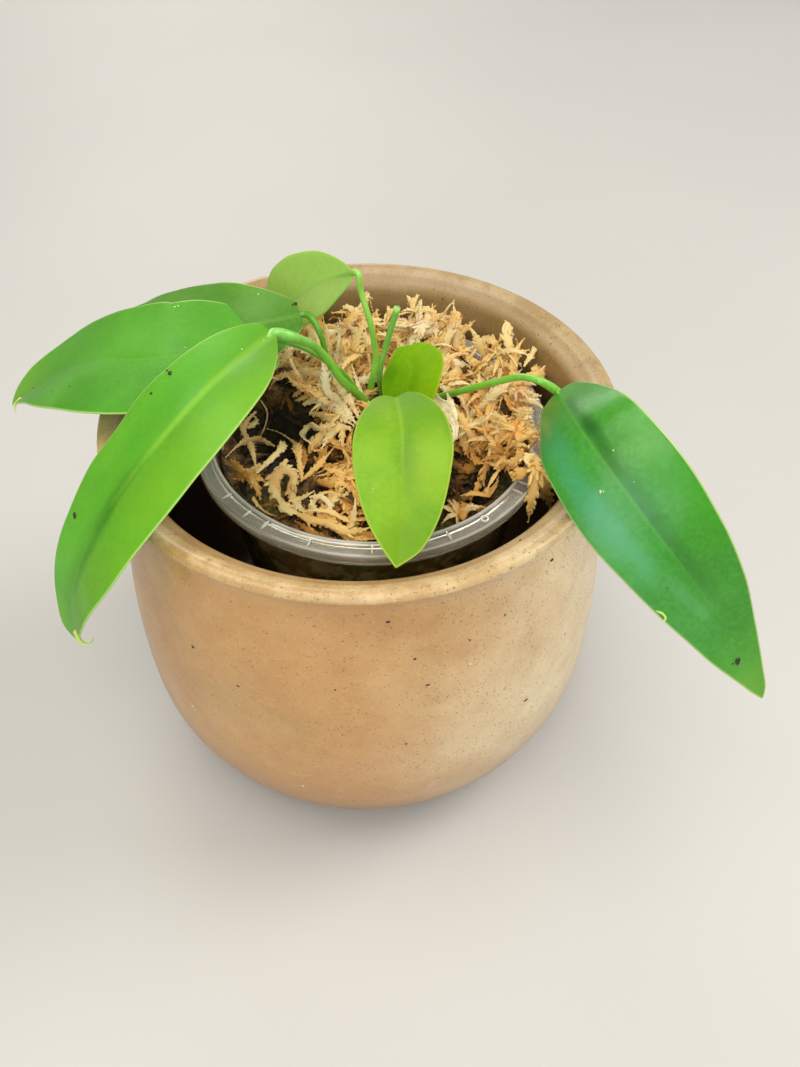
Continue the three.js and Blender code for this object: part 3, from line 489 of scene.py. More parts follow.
def make_leaf(name, material, seed, cols, rows, thick=0.55, quilt=0.16, groove=0.22, keel=0.75, wave=0.22, vein=0.05):
    S = Blade(LEAVES[name])
    BLADES[name] = S
    U, Vv, across = blade_grid(S, cols, rows)
    P, N = S.at(U, np.where(np.abs(Vv) < 1e-9, 1e-9, Vv))
    side = np.sign(np.arange(2 * rows + 1) - rows)
    wide = np.where(Vv >= 0, half_width(S, U, 1), half_width(S, U, -1))
    lu, lv = np.clip(U / S.L, 0, 1), np.clip(Vv / np.maximum(wide, 0.4), -1, 1)
    av = np.abs(Vv)
    fade_tip = np.clip((1 - lu) * 9, 0, 1) * np.clip(lu * 12 + 0.25, 0, 1)
    # Gentle quilting, waves along the edge, sunken side veins, the groove of the midrib.
    soft = wobble(P, 13.0, seed) * quilt + wobble(P, 5.5, seed + 9) * quilt * 0.35
    ripple = wave * np.clip(np.abs(lv) - 0.45, 0, 1) * 1.8 * np.sin(U / 7.3 + 2.1 * seed + 1.5 * np.sin(U / 11.0 + seed)) * (np.sign(Vv) * 0.35 + 0.8)
    step = 6.2 + 0.02 * S.L
    phase = (U + av * 1.15 + 0.6 * np.sin(av * 0.5 + seed)) / step
    line = np.exp(-((phase - np.round(phase)) * step / 0.55) ** 2) * np.clip(av / 2, 0, 1) * np.clip((1 - np.abs(lv)) * 5, 0, 1)
    relief = (soft + ripple) * fade_tip - vein * line
    tip_narrow = np.clip(1.25 - lu, 0.12, 1)
    gw = (1.15 * tip_narrow + 0.25)
    top_groove = -groove * np.exp(-(av / gw) ** 2) * tip_narrow + 0.45 * groove * np.exp(-(av / (0.42 * gw)) ** 2) * tip_narrow
    under = keel * (0.15 + 0.85 * tip_narrow ** 1.3) * np.exp(-(av / (0.75 * gw)) ** 2) * np.clip(1.02 - lu, 0, 1) ** 0.4
    rim = np.clip((1 - across) * wide / 0.55, 0, 1)            # 0 at the very edge
    half = thick / 2 * (0.34 + 0.66 * np.sqrt(rim))
    up = P + N * (relief + half + top_groove * rim)[..., None]
    lo = P + N * (relief - half - under * rim)[..., None]
    nc, nr = cols + 1, 2 * rows + 1
    verts = np.concatenate([up.reshape(-1, 3), lo.reshape(-1, 3)])
    m = nc * nr
    top = grid_quads(nc, nr)
    quads = [top, top[:, ::-1] + m]
    i = np.arange(nc - 1)
    a, b = i * nr, (i + 1) * nr
    quads.append(np.stack([a, a + m, b + m, b], -1))
    a, b = i * nr + nr - 1, (i + 1) * nr + nr - 1
    quads.append(np.stack([b, b + m, a + m, a], -1))
    quads = np.vstack(quads)
    # The first and last columns end in a point, so merging by distance closes them.
    flat = dict(
        lu=np.r_[lu.ravel(), lu.ravel()], lv=np.r_[lv.ravel(), lv.ravel()],
        vmm=np.r_[Vv.ravel(), Vv.ravel()], umm=np.r_[U.ravel(), U.ravel()],
        edge=np.r_[((1 - across) * wide).ravel(), ((1 - across) * wide).ravel()],
        face=np.r_[np.ones(m), np.zeros(m)])
    me = build_mesh(name + "_blade", verts, quads=quads, attrs=flat)
    import bmesh
    bm = bmesh.new()
    bm.from_mesh(me)
    bmesh.ops.remove_doubles(bm, verts=bm.verts, dist=2e-6)
    bmesh.ops.dissolve_degenerate(bm, edges=bm.edges, dist=1e-6)
    bmesh.ops.holes_fill(bm, edges=[e for e in bm.edges if e.is_boundary], sides=0)
    bmesh.ops.recalc_face_normals(bm, faces=bm.faces)
    bm.to_mesh(me)
    bm.free()
    me.polygons.foreach_set("use_smooth", np.full(len(me.polygons), True))
    TOPS[name] = (up, N, U, Vv)
    return add_piece(name + "_blade", me, material, (name,))


GRIDS = {}


def locate(name, px, py):
    """Blade coordinates (share of length, mm across) under a pixel."""
    if name not in GRIDS:
        S = Blade(LEAVES[name])
        U, Vv, _ = blade_grid(S, 90, 14)
        P, _ = S.at(U, np.where(np.abs(Vv) < 1e-9, 1e-9, Vv))
        GRIDS[name] = (project(P.reshape(-1, 3)), U.ravel() / S.L, Vv.ravel())
    q, u, v = GRIDS[name]
    i = np.argmin((q[:, 0] - px) ** 2 + (q[:, 1] - py) ** 2)
    return float(u[i]), float(v[i])


MARKS_AND_PAINTED_LIGHT = {
    # Blotches of each blade's own colour, and painted light: the teal patches on the right leaf are painted reflection,
    # the big yellow patch on the front leaf is a painted highlight, and the dark patch on the centre leaf is painted
    # shade. Columns: pixel, reach along in share of length, reach across in mm, colour, strength
    "leaf_front_left": [(112, 502, 0.12, 2.0, srgb(44, 116, 14), 0.6), (94, 538, 0.10, 2.2, srgb(44, 116, 14), 0.65), (80, 572, 0.08, 2.4, srgb(48, 120, 16), 0.55),
                        (205, 445, 0.28, 6.0, srgb(132, 194, 34), 0.5), (135, 555, 0.18, 6.0, srgb(122, 190, 40), 0.4), (250, 355, 0.2, 8.0, srgb(96, 158, 32), 0.4),
                        (75, 560, 0.14, 3.0, srgb(112, 190, 60), 0.35), (150, 430, 0.2, 5.0, srgb(72, 150, 26), 0.35)],
    "leaf_left": [(150, 335, 0.14, 7.0, srgb(104, 178, 66), 0.4), (90, 365, 0.12, 7.0, srgb(108, 182, 70), 0.4), (55, 392, 0.1, 6.0, srgb(112, 184, 74), 0.35),
                  (210, 315, 0.12, 8.0, srgb(72, 152, 34), 0.35), (120, 395, 0.2, 6.0, srgb(74, 154, 34), 0.3), (185, 345, 0.05, 3.0, srgb(60, 140, 40), 0.35)],
    "leaf_back_left": [(215, 290, 0.16, 8.0, srgb(72, 134, 34), 0.4), (270, 300, 0.12, 5.0, srgb(100, 160, 56), 0.4), (180, 300, 0.12, 5.0, srgb(92, 150, 52), 0.3)],
    "leaf_front": [(430, 468, 0.26, 5.5, srgb(176, 212, 50), 0.6), (376, 448, 0.14, 4.0, srgb(150, 200, 34), 0.45), (366, 420, 0.16, 4.5, srgb(92, 156, 22), 0.5),
                   (420, 412, 0.14, 6.0, srgb(98, 160, 20), 0.42), (398, 545, 0.18, 6.0, srgb(108, 150, 4), 0.5), (405, 500, 0.12, 3.5, srgb(156, 196, 30), 0.35), (440, 440, 0.1, 2.5, srgb(120, 176, 24), 0.3)],
    "leaf_centre": [(389, 372, 0.3, 3.0, srgb(72, 124, 0), 0.6), (425, 358, 0.2, 3.5, srgb(128, 178, 2), 0.4)],
    "leaf_right": [(590, 424, 0.035, 2.2, srgb(16, 84, 16), 0.8), (600, 436, 0.05, 1.8, srgb(24, 96, 16), 0.55), (650, 505, 0.16, 2.0, srgb(40, 122, 14), 0.5), (700, 575, 0.1, 2.4, srgb(40, 124, 14), 0.45),
                   (645, 430, 0.2, 6.0, srgb(74, 160, 30), 0.45), (690, 500, 0.16, 6.0, srgb(72, 158, 30), 0.4), (684, 596, 0.07, 2.2, srgb(112, 184, 120), 0.3), (704, 612, 0.03, 1.6, srgb(126, 190, 130), 0.25),
                   (560, 455, 0.16, 4.0, srgb(66, 160, 112), 0.6), (600, 520, 0.16, 4.0, srgb(78, 168, 118), 0.55), (640, 560, 0.10, 3.0, srgb(96, 176, 116), 0.45), (546, 425, 0.06, 1.6, srgb(146, 186, 70), 0.5),
                   (752, 682, 0.06, 6.0, srgb(96, 160, 18), 0.6), (560, 395, 0.05, 5.0, srgb(86, 164, 34), 0.5)],
}


def leaf_material(name, dark, light, rib, margin, side_sign=1, rough=0.4, coat=0.1, coat_rough=0.22, rib_mix=0.4, rib_wide=0.8, rib_end=0.6,
                  trough=0.0, trough_at=(0.1, 0.6), trough_side=-1, base_dark=0.0, tip_mix=0.0, tip=(0, 0, 0), through=0.15, spec=0.5, patch=0.3, glaze=0.0, vein=0.02, thru=None, mottle=0.1, blade=None):
    """Leaf colour from the blade's own coordinates: the two halves, one in painted light and one in painted shade,
    midrib, soft patches, some of them painted light, pale edge.
    """
    t = Tree(name)
    lu, lv, vmm, umm, edge, face = (t.attr(k) for k in ("lu", "lv", "vmm", "umm", "edge", "face"))
    av = t.math("ABSOLUTE", vmm)
    cloud = t.noise(75, 3, 0.55)
    fine = t.noise(420, 4, 0.6)
    blotch = t.math("ADD", t.math("MULTIPLY", cloud, 0.8), t.math("MULTIPLY", fine, 0.2))
    # Painted light and shade: one half of the blade is lighter, as if lit, and the other darker, as if in shade.
    half = t.smooth(t.math("MULTIPLY", vmm, float(side_sign)), -3.5, 4.0)
    body = t.mix(t.math("ADD", t.math("MULTIPLY", half, 0.7), t.math("MULTIPLY", t.smooth(blotch, 0.36, 0.64), 0.4), clamp=True), dark, light)
    dim = t.smooth(t.noise(42, 2, 0.5, vec=t.vmath("ADD", t.obj, (0.31, 0.17, 0.05))), 0.45, 0.68)
    body = t.mix(t.math("MULTIPLY", dim, patch), body, tuple(c * 0.68 for c in dark))
    lit = t.smooth(t.noise(64, 2, 0.5, vec=t.vmath("ADD", t.obj, (0.11, 0.57, 0.25))), 0.5, 0.72)
    body = t.mix(t.math("MULTIPLY", lit, patch * 0.8), body, tuple(min(1.0, c * 1.3 + 0.01) for c in light))
    # A fine unevenness all over, of a millimetre or so.
    speck = t.noise(700, 4, 0.72, vec=t.vmath("ADD", t.obj, (0.05, 0.21, 0.43)))
    body = t.mix(t.math("MULTIPLY", t.smooth(speck, 0.5, 0.36), mottle * 1.5), body, tuple(c * 0.6 for c in dark))
    body = t.mix(t.math("MULTIPLY", t.smooth(speck, 0.5, 0.64), mottle), body, tuple(min(1.0, c * 1.5 + 0.02) for c in light))
    # Painted shade: a deeper green band lies along one side of the midrib, where the blade dips.
    trough_shade = t.math("MULTIPLY", t.math("MULTIPLY", t.smooth(t.math("MULTIPLY", vmm, float(trough_side)), -0.4, 0.7), t.smooth(av, 4.8, 1.2)),
                  t.math("MULTIPLY", t.smooth(lu, trough_at[0] - 0.08, trough_at[0] + 0.08), t.smooth(lu, trough_at[1] + 0.15, trough_at[1] - 0.05)))
    trough_shade = t.math("MULTIPLY", trough_shade, t.smooth(t.noise(120, 3, 0.6), 0.3, 0.6, 0.45, 1.0))
    body = t.mix(t.math("MULTIPLY", trough_shade, trough), body, tuple(c * 0.5 for c in dark))
    # Side veins run forward from the midrib and hardly show.
    path = t.math("ADD", t.math("ADD", umm, t.math("MULTIPLY", av, 1.3)), t.math("MULTIPLY", t.noise(45, 2, 0.5), 9.0))
    line = t.math("MULTIPLY", t.smooth(t.math("PINGPONG", path, 3.1), 0.9, 0.0), t.math("MULTIPLY", t.smooth(edge, 1.0, 4.5), t.smooth(fine, 0.4, 0.6)))
    body = t.mix(t.math("MULTIPLY", line, vein), body, rib)
    # Midrib: pale and soft at the base, a thread further on.
    width = t.math("ADD", t.math("MULTIPLY", t.math("SUBTRACT", 1.0, lu), rib_wide), 0.2)
    ribbed = t.math("MULTIPLY", t.smooth(t.math("DIVIDE", av, width), 1.15, 0.2), t.smooth(lu, rib_end + 0.25, rib_end - 0.25, 0.18, 1.0))
    body = t.mix(t.math("MULTIPLY", ribbed, rib_mix), body, rib)
    ruffle = t.math("MULTIPLY", t.math("SUBTRACT", t.noise(150, 3, 0.6), 0.5), 1.4)
    # Blotches from the table, among them painted reflection, painted highlight and painted shade.
    for px, py, ru, rv, colour, strength in MARKS_AND_PAINTED_LIGHT.get(blade, ()):
        u0, v0 = locate(blade, px, py)
        du = t.math("POWER", t.math("ABSOLUTE", t.math("MULTIPLY", t.math("SUBTRACT", lu, u0), 1 / ru)), 2.0)
        dv = t.math("POWER", t.math("ABSOLUTE", t.math("MULTIPLY", t.math("SUBTRACT", vmm, v0), 1 / rv)), 2.0)
        near = t.smooth(t.math("ADD", t.math("ADD", du, dv), ruffle), 1.5, -0.6)
        body = t.mix(t.math("MULTIPLY", near, strength), body, colour)
    if base_dark:
        body = t.mix(t.math("MULTIPLY", t.smooth(lu, 0.22, 0.0), base_dark), body, tuple(c * 0.6 for c in dark))
    if tip_mix:
        body = t.mix(t.math("MULTIPLY", t.smooth(lu, 0.72, 1.0), tip_mix), body, tip)
    body = t.mix(t.math("MULTIPLY", t.smooth(edge, 0.62, 0.15), 0.85), body, margin)
    # Painted reflection: the glaze setting lays a teal sheen of the sky over the lighter half.
    if glaze:
        body = t.mix(t.math("MULTIPLY", t.math("MULTIPLY", half, t.smooth(lu, 0.98, 0.6)), glaze), body, srgb(58, 150, 96))
    body = t.mix(t.math("SUBTRACT", 1.0, face), body, t.mix(0.4, body, tuple(min(1.0, c * 1.35 + 0.03) for c in light)))
    r = t.math("ADD", t.math("MULTIPLY", t.noise(110, 3, 0.6), 0.24), rough - 0.12)
    r = t.math("ADD", r, t.math("MULTIPLY", t.math("SUBTRACT", 1.0, face), 0.15))
    h = t.math("ADD", t.math("MULTIPLY", t.noise(230, 4, 0.6), 0.7), t.math("MULTIPLY", t.noise(1500, 2, 0.6), 0.10))
    h = t.math("ADD", h, t.math("MULTIPLY", line, -0.12))
    bump = t.bump(h, 0.26, 0.0005)
    p = t.principled(Base_Color=body, Roughness=r, IOR=1.45, Normal=bump, Coat_Weight=coat, Coat_Roughness=coat_rough, Specular_IOR_Level=spec)
    tr = t.nodes.new("ShaderNodeBsdfTranslucent")
    t.put(tr.inputs[0], t.mix(0.5, body, thru if thru else tuple(min(1.0, c * 1.5) for c in light)))
    ms = t.nodes.new("ShaderNodeMixShader")
    ms.inputs[0].default_value = through
    t.links.new(p.outputs[0], ms.inputs[1])
    t.links.new(tr.outputs[0], ms.inputs[2])
    t.links.new(ms.outputs[0], t.out.inputs["Surface"])
    return t.mat


MAT_A = leaf_material("leaf_green_bright", srgb(98, 184, 44), srgb(108, 172, 34), srgb(146, 204, 62), srgb(186, 220, 110), side_sign=-1, rough=0.44, coat=0.06,
                      rib_mix=0.75, rib_wide=1.5, rib_end=0.5, trough=0.45, trough_at=(0.45, 0.95), trough_side=1, through=0.2, tip_mix=0.25, tip=srgb(140, 190, 50), spec=0.35, blade="leaf_front_left")
MAT_B = leaf_material("leaf_green_even", srgb(82, 160, 36), srgb(92, 168, 44), srgb(118, 186, 66), srgb(190, 220, 120), rough=0.46, coat=0.06, rib_mix=0.25,
                      through=0.15, tip_mix=0.4, tip=srgb(150, 195, 70), spec=0.35, patch=0.35, blade="leaf_left")
MAT_C = leaf_material("leaf_green_deep", srgb(76, 136, 32), srgb(94, 154, 42), srgb(118, 176, 70), srgb(176, 210, 120), rough=0.45, coat=0.06, rib_mix=0.4,
                      through=0.12, spec=0.3, vein=0.15, blade="leaf_back_left")
# The back leaf's colours are pale: partly its own paler underside, partly painted light standing in for light shining
# through it.
MAT_D = leaf_material("leaf_green_back", srgb(186, 220, 122), srgb(198, 228, 142), srgb(160, 205, 96), srgb(176, 212, 104), side_sign=-1, rough=0.6, coat=0.0, rib_mix=0.2,
                      through=0.62, spec=0.2, patch=0.08, thru=srgb(222, 246, 166))
MAT_E = leaf_material("leaf_green_young", srgb(110, 165, 24), srgb(134, 182, 30), srgb(172, 210, 70), srgb(182, 208, 70), rough=0.48, coat=0.06, rib_mix=0.35,
                      rib_wide=0.6, rib_end=0.35, trough=0.15, base_dark=0.35, tip_mix=0.55, tip=srgb(126, 166, 8), through=0.25, spec=0.3, patch=0.4, thru=srgb(190, 214, 20), blade="leaf_front")
MAT_F = leaf_material("leaf_green_small", srgb(112, 166, 0), srgb(140, 190, 2), srgb(120, 172, 10), srgb(160, 190, 30), side_sign=-1, rough=0.6, coat=0.0, rib_mix=0.15,
                      trough=0.2, through=0.3, spec=0.12, patch=0.2, thru=srgb(150, 190, 0), blade="leaf_centre")
# The right leaf's glaze value is a painted teal reflection on its lighter half.
MAT_G = leaf_material("leaf_green_glossy", srgb(56, 144, 22), srgb(66, 152, 38), srgb(120, 186, 70), srgb(196, 214, 130), side_sign=1, rough=0.37, coat=0.25, coat_rough=0.26,
                      rib_mix=0.22, rib_wide=0.55, rib_end=0.5, trough=0.6, trough_at=(0.06, 0.55), trough_side=-1, through=0.1, glaze=0.12, tip_mix=0.6, tip=srgb(104, 168, 34), patch=0.25, mottle=0.2, blade="leaf_right")

make_leaf("leaf_front_left", MAT_A, 1.3, 120, 18, groove=0.2, quilt=0.14, vein=0.0)
make_leaf("leaf_left", MAT_B, 4.1, 100, 18, groove=0.12, quilt=0.25, wave=0.3, vein=0.0)
make_leaf("leaf_back_left", MAT_C, 6.7, 84, 16, groove=0.15, quilt=0.2, vein=0.01)
make_leaf("leaf_back", MAT_D, 8.2, 64, 12, thick=0.45, keel=0.35, quilt=0.1, wave=0.12, vein=0.0)
make_leaf("leaf_front", MAT_E, 11.9, 72, 14, thick=0.45, keel=0.5, groove=0.1, quilt=0.2, wave=0.15, vein=0.0)
make_leaf("leaf_centre", MAT_F, 13.4, 60, 12, thick=0.4, keel=0.4, groove=0.05, quilt=0.1, wave=0.1, vein=0.0)
make_leaf("leaf_right", MAT_G, 16.8, 120, 18, groove=0.26, quilt=0.26, wave=0.25, vein=0.012)


def leaf_point(name, px, py):
    """Point and normal of a blade's upper skin under a pixel."""
    up, N, U, Vv = TOPS[name]
    q = project(up.reshape(-1, 3))
    i = np.argmin((q[:, 0] - px) ** 2 + (q[:, 1] - py) ** 2)
    near = np.argsort((q[:, 0] - px) ** 2 + (q[:, 1] - py) ** 2)[:3]
    w = 1 / (0.1 + np.hypot(q[near, 0] - px, q[near, 1] - py))
    return (up.reshape(-1, 3)[near] * w[:, None]).sum(0) / w.sum(), unit(N.reshape(-1, 3)[i])


def bead(centre, normal, size, flat, seed, axis=(1, 0.3, 0), long=1.0):
    """A small irregular closed lump lying on a surface."""
    m, k = 10, 6
    th = np.linspace(0, 2 * np.pi, m, endpoint=False)
    ph = np.linspace(0, np.pi, k + 1)[1:-1]
    r = np.random.default_rng(seed)
    bx = np.cross(normal, axis)
    bx /= np.linalg.norm(bx)
    by = np.cross(normal, bx)
    rows_ = [np.stack([np.sin(f) * np.cos(th) * long, np.sin(f) * np.sin(th), np.full(m, np.cos(f))], -1) for f in ph]
    pts = np.concatenate(rows_ + [np.array([[0, 0, 1.0], [0, 0, -1.0]])]) * (1 + 0.22 * r.normal(size=(m * (k - 1) + 2, 1)).clip(-1, 1))
    V = centre + size * (pts[:, :1] * bx + pts[:, 1:2] * by + pts[:, 2:] * flat * normal)
    Q = grid_quads(k - 1, m, wrap=True)
    n0 = m * (k - 1)
    j = np.arange(m)
    j2 = (j + 1) % m
    T = np.vstack([np.stack([np.full(m, n0), j, j2], -1), np.stack([np.full(m, n0 + 1), n0 - m + j2, n0 - m + j], -1)])
    return V, T, Q, {"tint": np.full(len(V), r.random())}


def speck_material(name, a_, b_):
    t = Tree(name)
    t.principled(Base_Color=t.mix(t.noise(2200, 3, 0.6), a_, b_), Roughness=0.55, Normal=t.bump(t.noise(2600, 2), 0.4, 0.0002))
    return t.mat


DARK_SPECKS = [("leaf_front_left", 170, 373, 0.55), ("leaf_front_left", 167, 371, 0.3), ("leaf_front_left", 151, 393, 0.38), ("leaf_front_left", 75, 516, 0.6),
               ("leaf_left", 33, 388, 0.35), ("leaf_left", 70, 386, 0.22), ("leaf_left", 52, 392, 0.2), ("leaf_back_left", 296, 303, 0.55), ("leaf_back_left", 292, 305, 0.35),
               ("leaf_right", 737, 661, 0.75), ("leaf_right", 733, 664, 0.3), ("leaf_right", 668, 588, 0.2)]
PALE_SPECKS = [("leaf_front_left", 242, 349, 0.35), ("leaf_left", 185, 347, 0.25), ("leaf_left", 175, 307, 0.4), ("leaf_left", 178, 306, 0.3), ("leaf_back_left", 258, 294, 0.35),
               ("leaf_right", 613, 451, 0.3), ("leaf_right", 600, 492, 0.4), ("leaf_right", 603, 491, 0.3), ("leaf_right", 634, 482, 0.2), ("leaf_front", 373, 489, 0.16), ("leaf_front", 372, 492, 0.14)]
for label, specks, mats in (("leaf_specks_dark", DARK_SPECKS, (srgb(18, 26, 14), srgb(48, 52, 30))), ("leaf_specks_pale", PALE_SPECKS, (srgb(176, 206, 140), srgb(214, 228, 186)))):
    parts = []
    for k, (leaf_name, px, py, size) in enumerate(specks):
        c, nrm_ = leaf_point(leaf_name, px, py)
        size *= 1.0 if label.endswith("dark") else 0.72
        parts.append(bead(c + nrm_ * size * 0.1, nrm_, size, 0.4, 50 + k, long=1.5 if k % 3 == 0 else 1.0))
    V_, T_, Q_, A_ = join_arrays(parts)
    add_piece(label, build_mesh(label, V_, T_, Q_), speck_material(label + "_mat", *mats))


# ------------------------------------------------------------------ leaf stalks
CROWN = np.array([3.3, 18.5, 111.0])
STALKS = {
    "stalk_front_left": dict(foot=238, leaf="leaf_front_left", r=(1.25, 1.25, 1.75), via=[[-6.3, 8.7, 129], [-9.2, 8.5, 135], [-12.5, 7.2, 141], [-14.9, 4.4, 145], [-18.7, 1.2, 149]]),
    "stalk_left": dict(foot=196, leaf="leaf_left", r=(1.0, 0.92, 1.15), via=[[-6.2, 16.5, 125], [-9, 15.1, 129], [-13.8, 14.3, 134], [-18.2, 13.4, 137.5], [-23.2, 12.8, 140]]),
    "stalk_back_left": dict(foot=155, leaf="leaf_back_left", r=(0.95, 0.85, 1.05), via=[[-10.6, 19.2, 127.5], [-12.1, 20.4, 134], [-13.1, 21, 137.5], [-14.7, 23.1, 139.8]]),
    "stalk_back": dict(foot=112, leaf="leaf_back", r=(1.1, 0.95, 0.95), via=[[3.4, 21.9, 122.5], [3.8, 22.9, 127.5], [2.6, 23, 138], [-0.2, 25.6, 148]]),
    "stalk_front": dict(foot=280, leaf="leaf_front", r=(1.0, 0.9, 0.95), tucked=True, via=[[4.6, 7.5, 118.5], [7.0, -4, 125], [9.2, -15, 134], [10.2, -21.5, 142]]),
    "stalk_centre": dict(foot=5, leaf="leaf_centre", r=(0.9, 0.8, 0.85), tucked=True, via=[[9.5, 18, 119], [12.5, 14.5, 127], [14, 9.5, 135]]),
    "stalk_right": dict(foot=322, leaf="leaf_right", r=(1.05, 0.98, 1.2), via=[[22.6, 6.6, 124], [29.5, 1.9, 130], [34.3, -0.9, 134], [39.4, -3.8, 138], [44.2, -7.2, 142], [48.8, -12.2, 144.5]]),
}


def stalk_material(name, low, high, rough=0.36, coat=0.3):
    t = Tree(name)
    along = t.attr("along")
    streak = t.noise(900, 2, 0.5, vec=t.stretch(t.obj, (1, 1, 0.15)))
    body = t.mix(t.smooth(along, 0.1, 0.95), low, high)
    body = t.mix(t.math("MULTIPLY", t.smooth(streak, 0.4, 0.7), 0.35), body, tuple(c * 0.7 for c in low))
    body = t.mix(t.math("MULTIPLY", t.smooth(t.noise(260, 3, 0.6), 0.5, 0.75), 0.3), body, tuple(min(1, c * 1.35) for c in high))
    body = t.mix(t.smooth(along, 0.16, 0.02), body, srgb(196, 190, 120))
    bump = t.bump(t.noise(1400, 3, 0.6, vec=t.stretch(t.obj, (1, 1, 0.3))), 0.25, 0.0003)
    p = t.principled(Base_Color=body, Roughness=rough, IOR=1.45, Normal=bump, Coat_Weight=coat, Coat_Roughness=0.2,
                     Subsurface_Weight=0.2, Subsurface_Radius=(0.5, 1.0, 0.2), Subsurface_Scale=0.001)
    return t.mat


STALK_MATS = {
    "stalk_front_left": stalk_material("stalk_green_light", srgb(116, 182, 50), srgb(134, 206, 92)),
    "stalk_left": stalk_material("stalk_green_mid", srgb(104, 174, 44), srgb(112, 182, 60)),
    "stalk_back_left": stalk_material("stalk_green_dark", srgb(98, 160, 34), srgb(104, 170, 48)),
    "stalk_back": stalk_material("stalk_green_pale", srgb(140, 198, 64), srgb(156, 214, 90)),
    "stalk_right": stalk_material("stalk_green_right", srgb(120, 188, 50), srgb(132, 200, 72)),
}
STALK_MATS["stalk_front"] = STALK_MATS["stalk_left"]
STALK_MATS["stalk_centre"] = STALK_MATS["stalk_back_left"]


def foot_point(angle, radius, lift):
    a = math.radians(angle)
    return [CROWN[0] + radius * math.cos(a), CROWN[1] + radius * math.sin(a), CROWN[2] + lift]


for name, st in STALKS.items():
    S = BLADES[st["leaf"]]
    leaf = LEAVES[st["leaf"]]
    P, T, B, N = S.frame(np.array([0.0, 2.5, 6.0]))
    under = -N * 0.55
    first = P[0] + T[0] * 0.6 - N[0] * 1.15 if st.get("tucked") else P[0] - T[0] * (leaf["b"] + 1.6) - N[0] * 0.45
    pts = [foot_point(st["foot"], 3.0, -3.0), foot_point(st["foot"], 4.0, 2.6), *st["via"], list(first), list(P[1] + under[1] * (1.3 if st.get("tucked") else 1)), list(P[2] - N[2] * 0.35)]
    path = catmull(pts, 7)
    seg = np.linalg.norm(np.diff(path, axis=0), axis=1)
    s = np.r_[0, np.cumsum(seg)]
    total = s[-1]
    r0, r1, r2 = st["r"]
    from_top = total - s
    r = np.interp(s / total, [0, 0.12, 0.45, 1], [r0 * 1.35, r0 * 1.1, r1, r1])
    swell = np.exp(-((from_top - 10.5) / 4.2) ** 2)                  # the swollen joint below the blade
    r = r + (r2 - r1) * swell + (r2 - r1) * 0.4 * np.clip((12 - from_top) / 12, 0, 1)
    r *= np.clip(from_top / 7.5, 0.25, 1) ** 0.7
    r *= 1 + 0.03 * np.sin(s / 3.1 + st["foot"])
    v, t3, q4, along = tube_arrays(path, r, 14)
    me = build_mesh(name + "_stem", v, t3, q4, {"along": along})
    add_piece(name + "_stem", me, STALK_MATS[name], (name,))

# Thin dry curls: at the tip of the front left leaf, at the tip of the left leaf, and on the edge of the right one.
def in_plane(px, py, p):
    """The point seen at a pixel, as far from the camera as p."""
    r = ray(px, py)
    return EYE + r * (((p - EYE) @ CAM_F) / (r @ CAM_F))


def curl_piece(name, leaf_name, anchor, pts, radii, mat):
    radii = [0.78 * r for r in radii]
    c, _ = leaf_point(leaf_name, *anchor)
    line = catmull([in_plane(x, y, c) for x, y in pts], 6)
    rad = np.interp(np.linspace(0, 1, len(line)), np.linspace(0, 1, len(radii)), radii)
    v_, t_, q_, al_ = tube_arrays(line, rad, 8, flat=0.7)
    add_piece(name, build_mesh(name, v_, t_, q_, {"along": al_}), mat)


CURL = stalk_material("leaf_tip_dry", srgb(176, 206, 90), srgb(206, 214, 140), rough=0.5, coat=0.0)
curl_piece("leaf_front_left_tip", "leaf_front_left", (78, 636), [(76, 632), (78.5, 638.5), (82.5, 643), (87.5, 644.2), (91.5, 642.5), (93.5, 639)], [1.0, 0.75, 0.6, 0.45, 0.35, 0.2], CURL)
curl_piece("leaf_left_tip", "leaf_left", (15, 405), [(20, 399), (16, 403), (14.5, 407.5), (16, 412)], [0.8, 0.7, 0.5, 0.25], CURL)
curl_piece("leaf_right_curl", "leaf_right", (660, 612), [(655.5, 610.5), (659.5, 612), (663.5, 614.5), (665.5, 618.5), (663, 621.5), (660, 619.5)], [0.3, 0.5, 0.55, 0.5, 0.35, 0.2], CURL)

# The stump of an old stalk, cut off square, with a paler ring where it was cut.
def stump_material():
    t = Tree("stalk_cut")
    along = t.attr("along")
    body = t.mix(t.smooth(along, 0.1, 0.9), srgb(108, 168, 48), srgb(124, 188, 76))
    body = t.mix(t.math("MULTIPLY", t.smooth(t.noise(700, 3), 0.5, 0.75), 0.35), body, srgb(92, 150, 44))
    body = t.mix(t.smooth(along, 0.97, 0.99), body, srgb(152, 198, 94))
    t.principled(Base_Color=body, Roughness=0.42, Normal=t.bump(t.noise(1300, 3), 0.2, 0.0003), Coat_Weight=0.2,
                 Subsurface_Weight=0.2, Subsurface_Radius=(0.5, 1.0, 0.2), Subsurface_Scale=0.001)
    return t.mat


path = catmull([foot_point(60, 3.0, -3.0), foot_point(60, 4.0, 2.6), [5.2, 16, 126.5], [7.2, 17, 135], [10.5, 17.4, 148]], 9)
n = len(path)
r = np.interp(np.linspace(0, 1, n), [0, 0.2, 0.9, 1], [1.25, 1.0, 0.93, 1.02])
v, t3, q4, along = tube_arrays(path, r, 14, round_ends=False)
# The cut end is slightly dished.
t_, b_, n_ = frames_along(path)
v[-1] = path[-1] - t_[-1] * 0.35
add_piece("cut_stalk_stub_stem", build_mesh("cut_stalk_stub_stem", v, t3, q4, {"along": along}), stump_material(), ("cut_stalk_stub",))


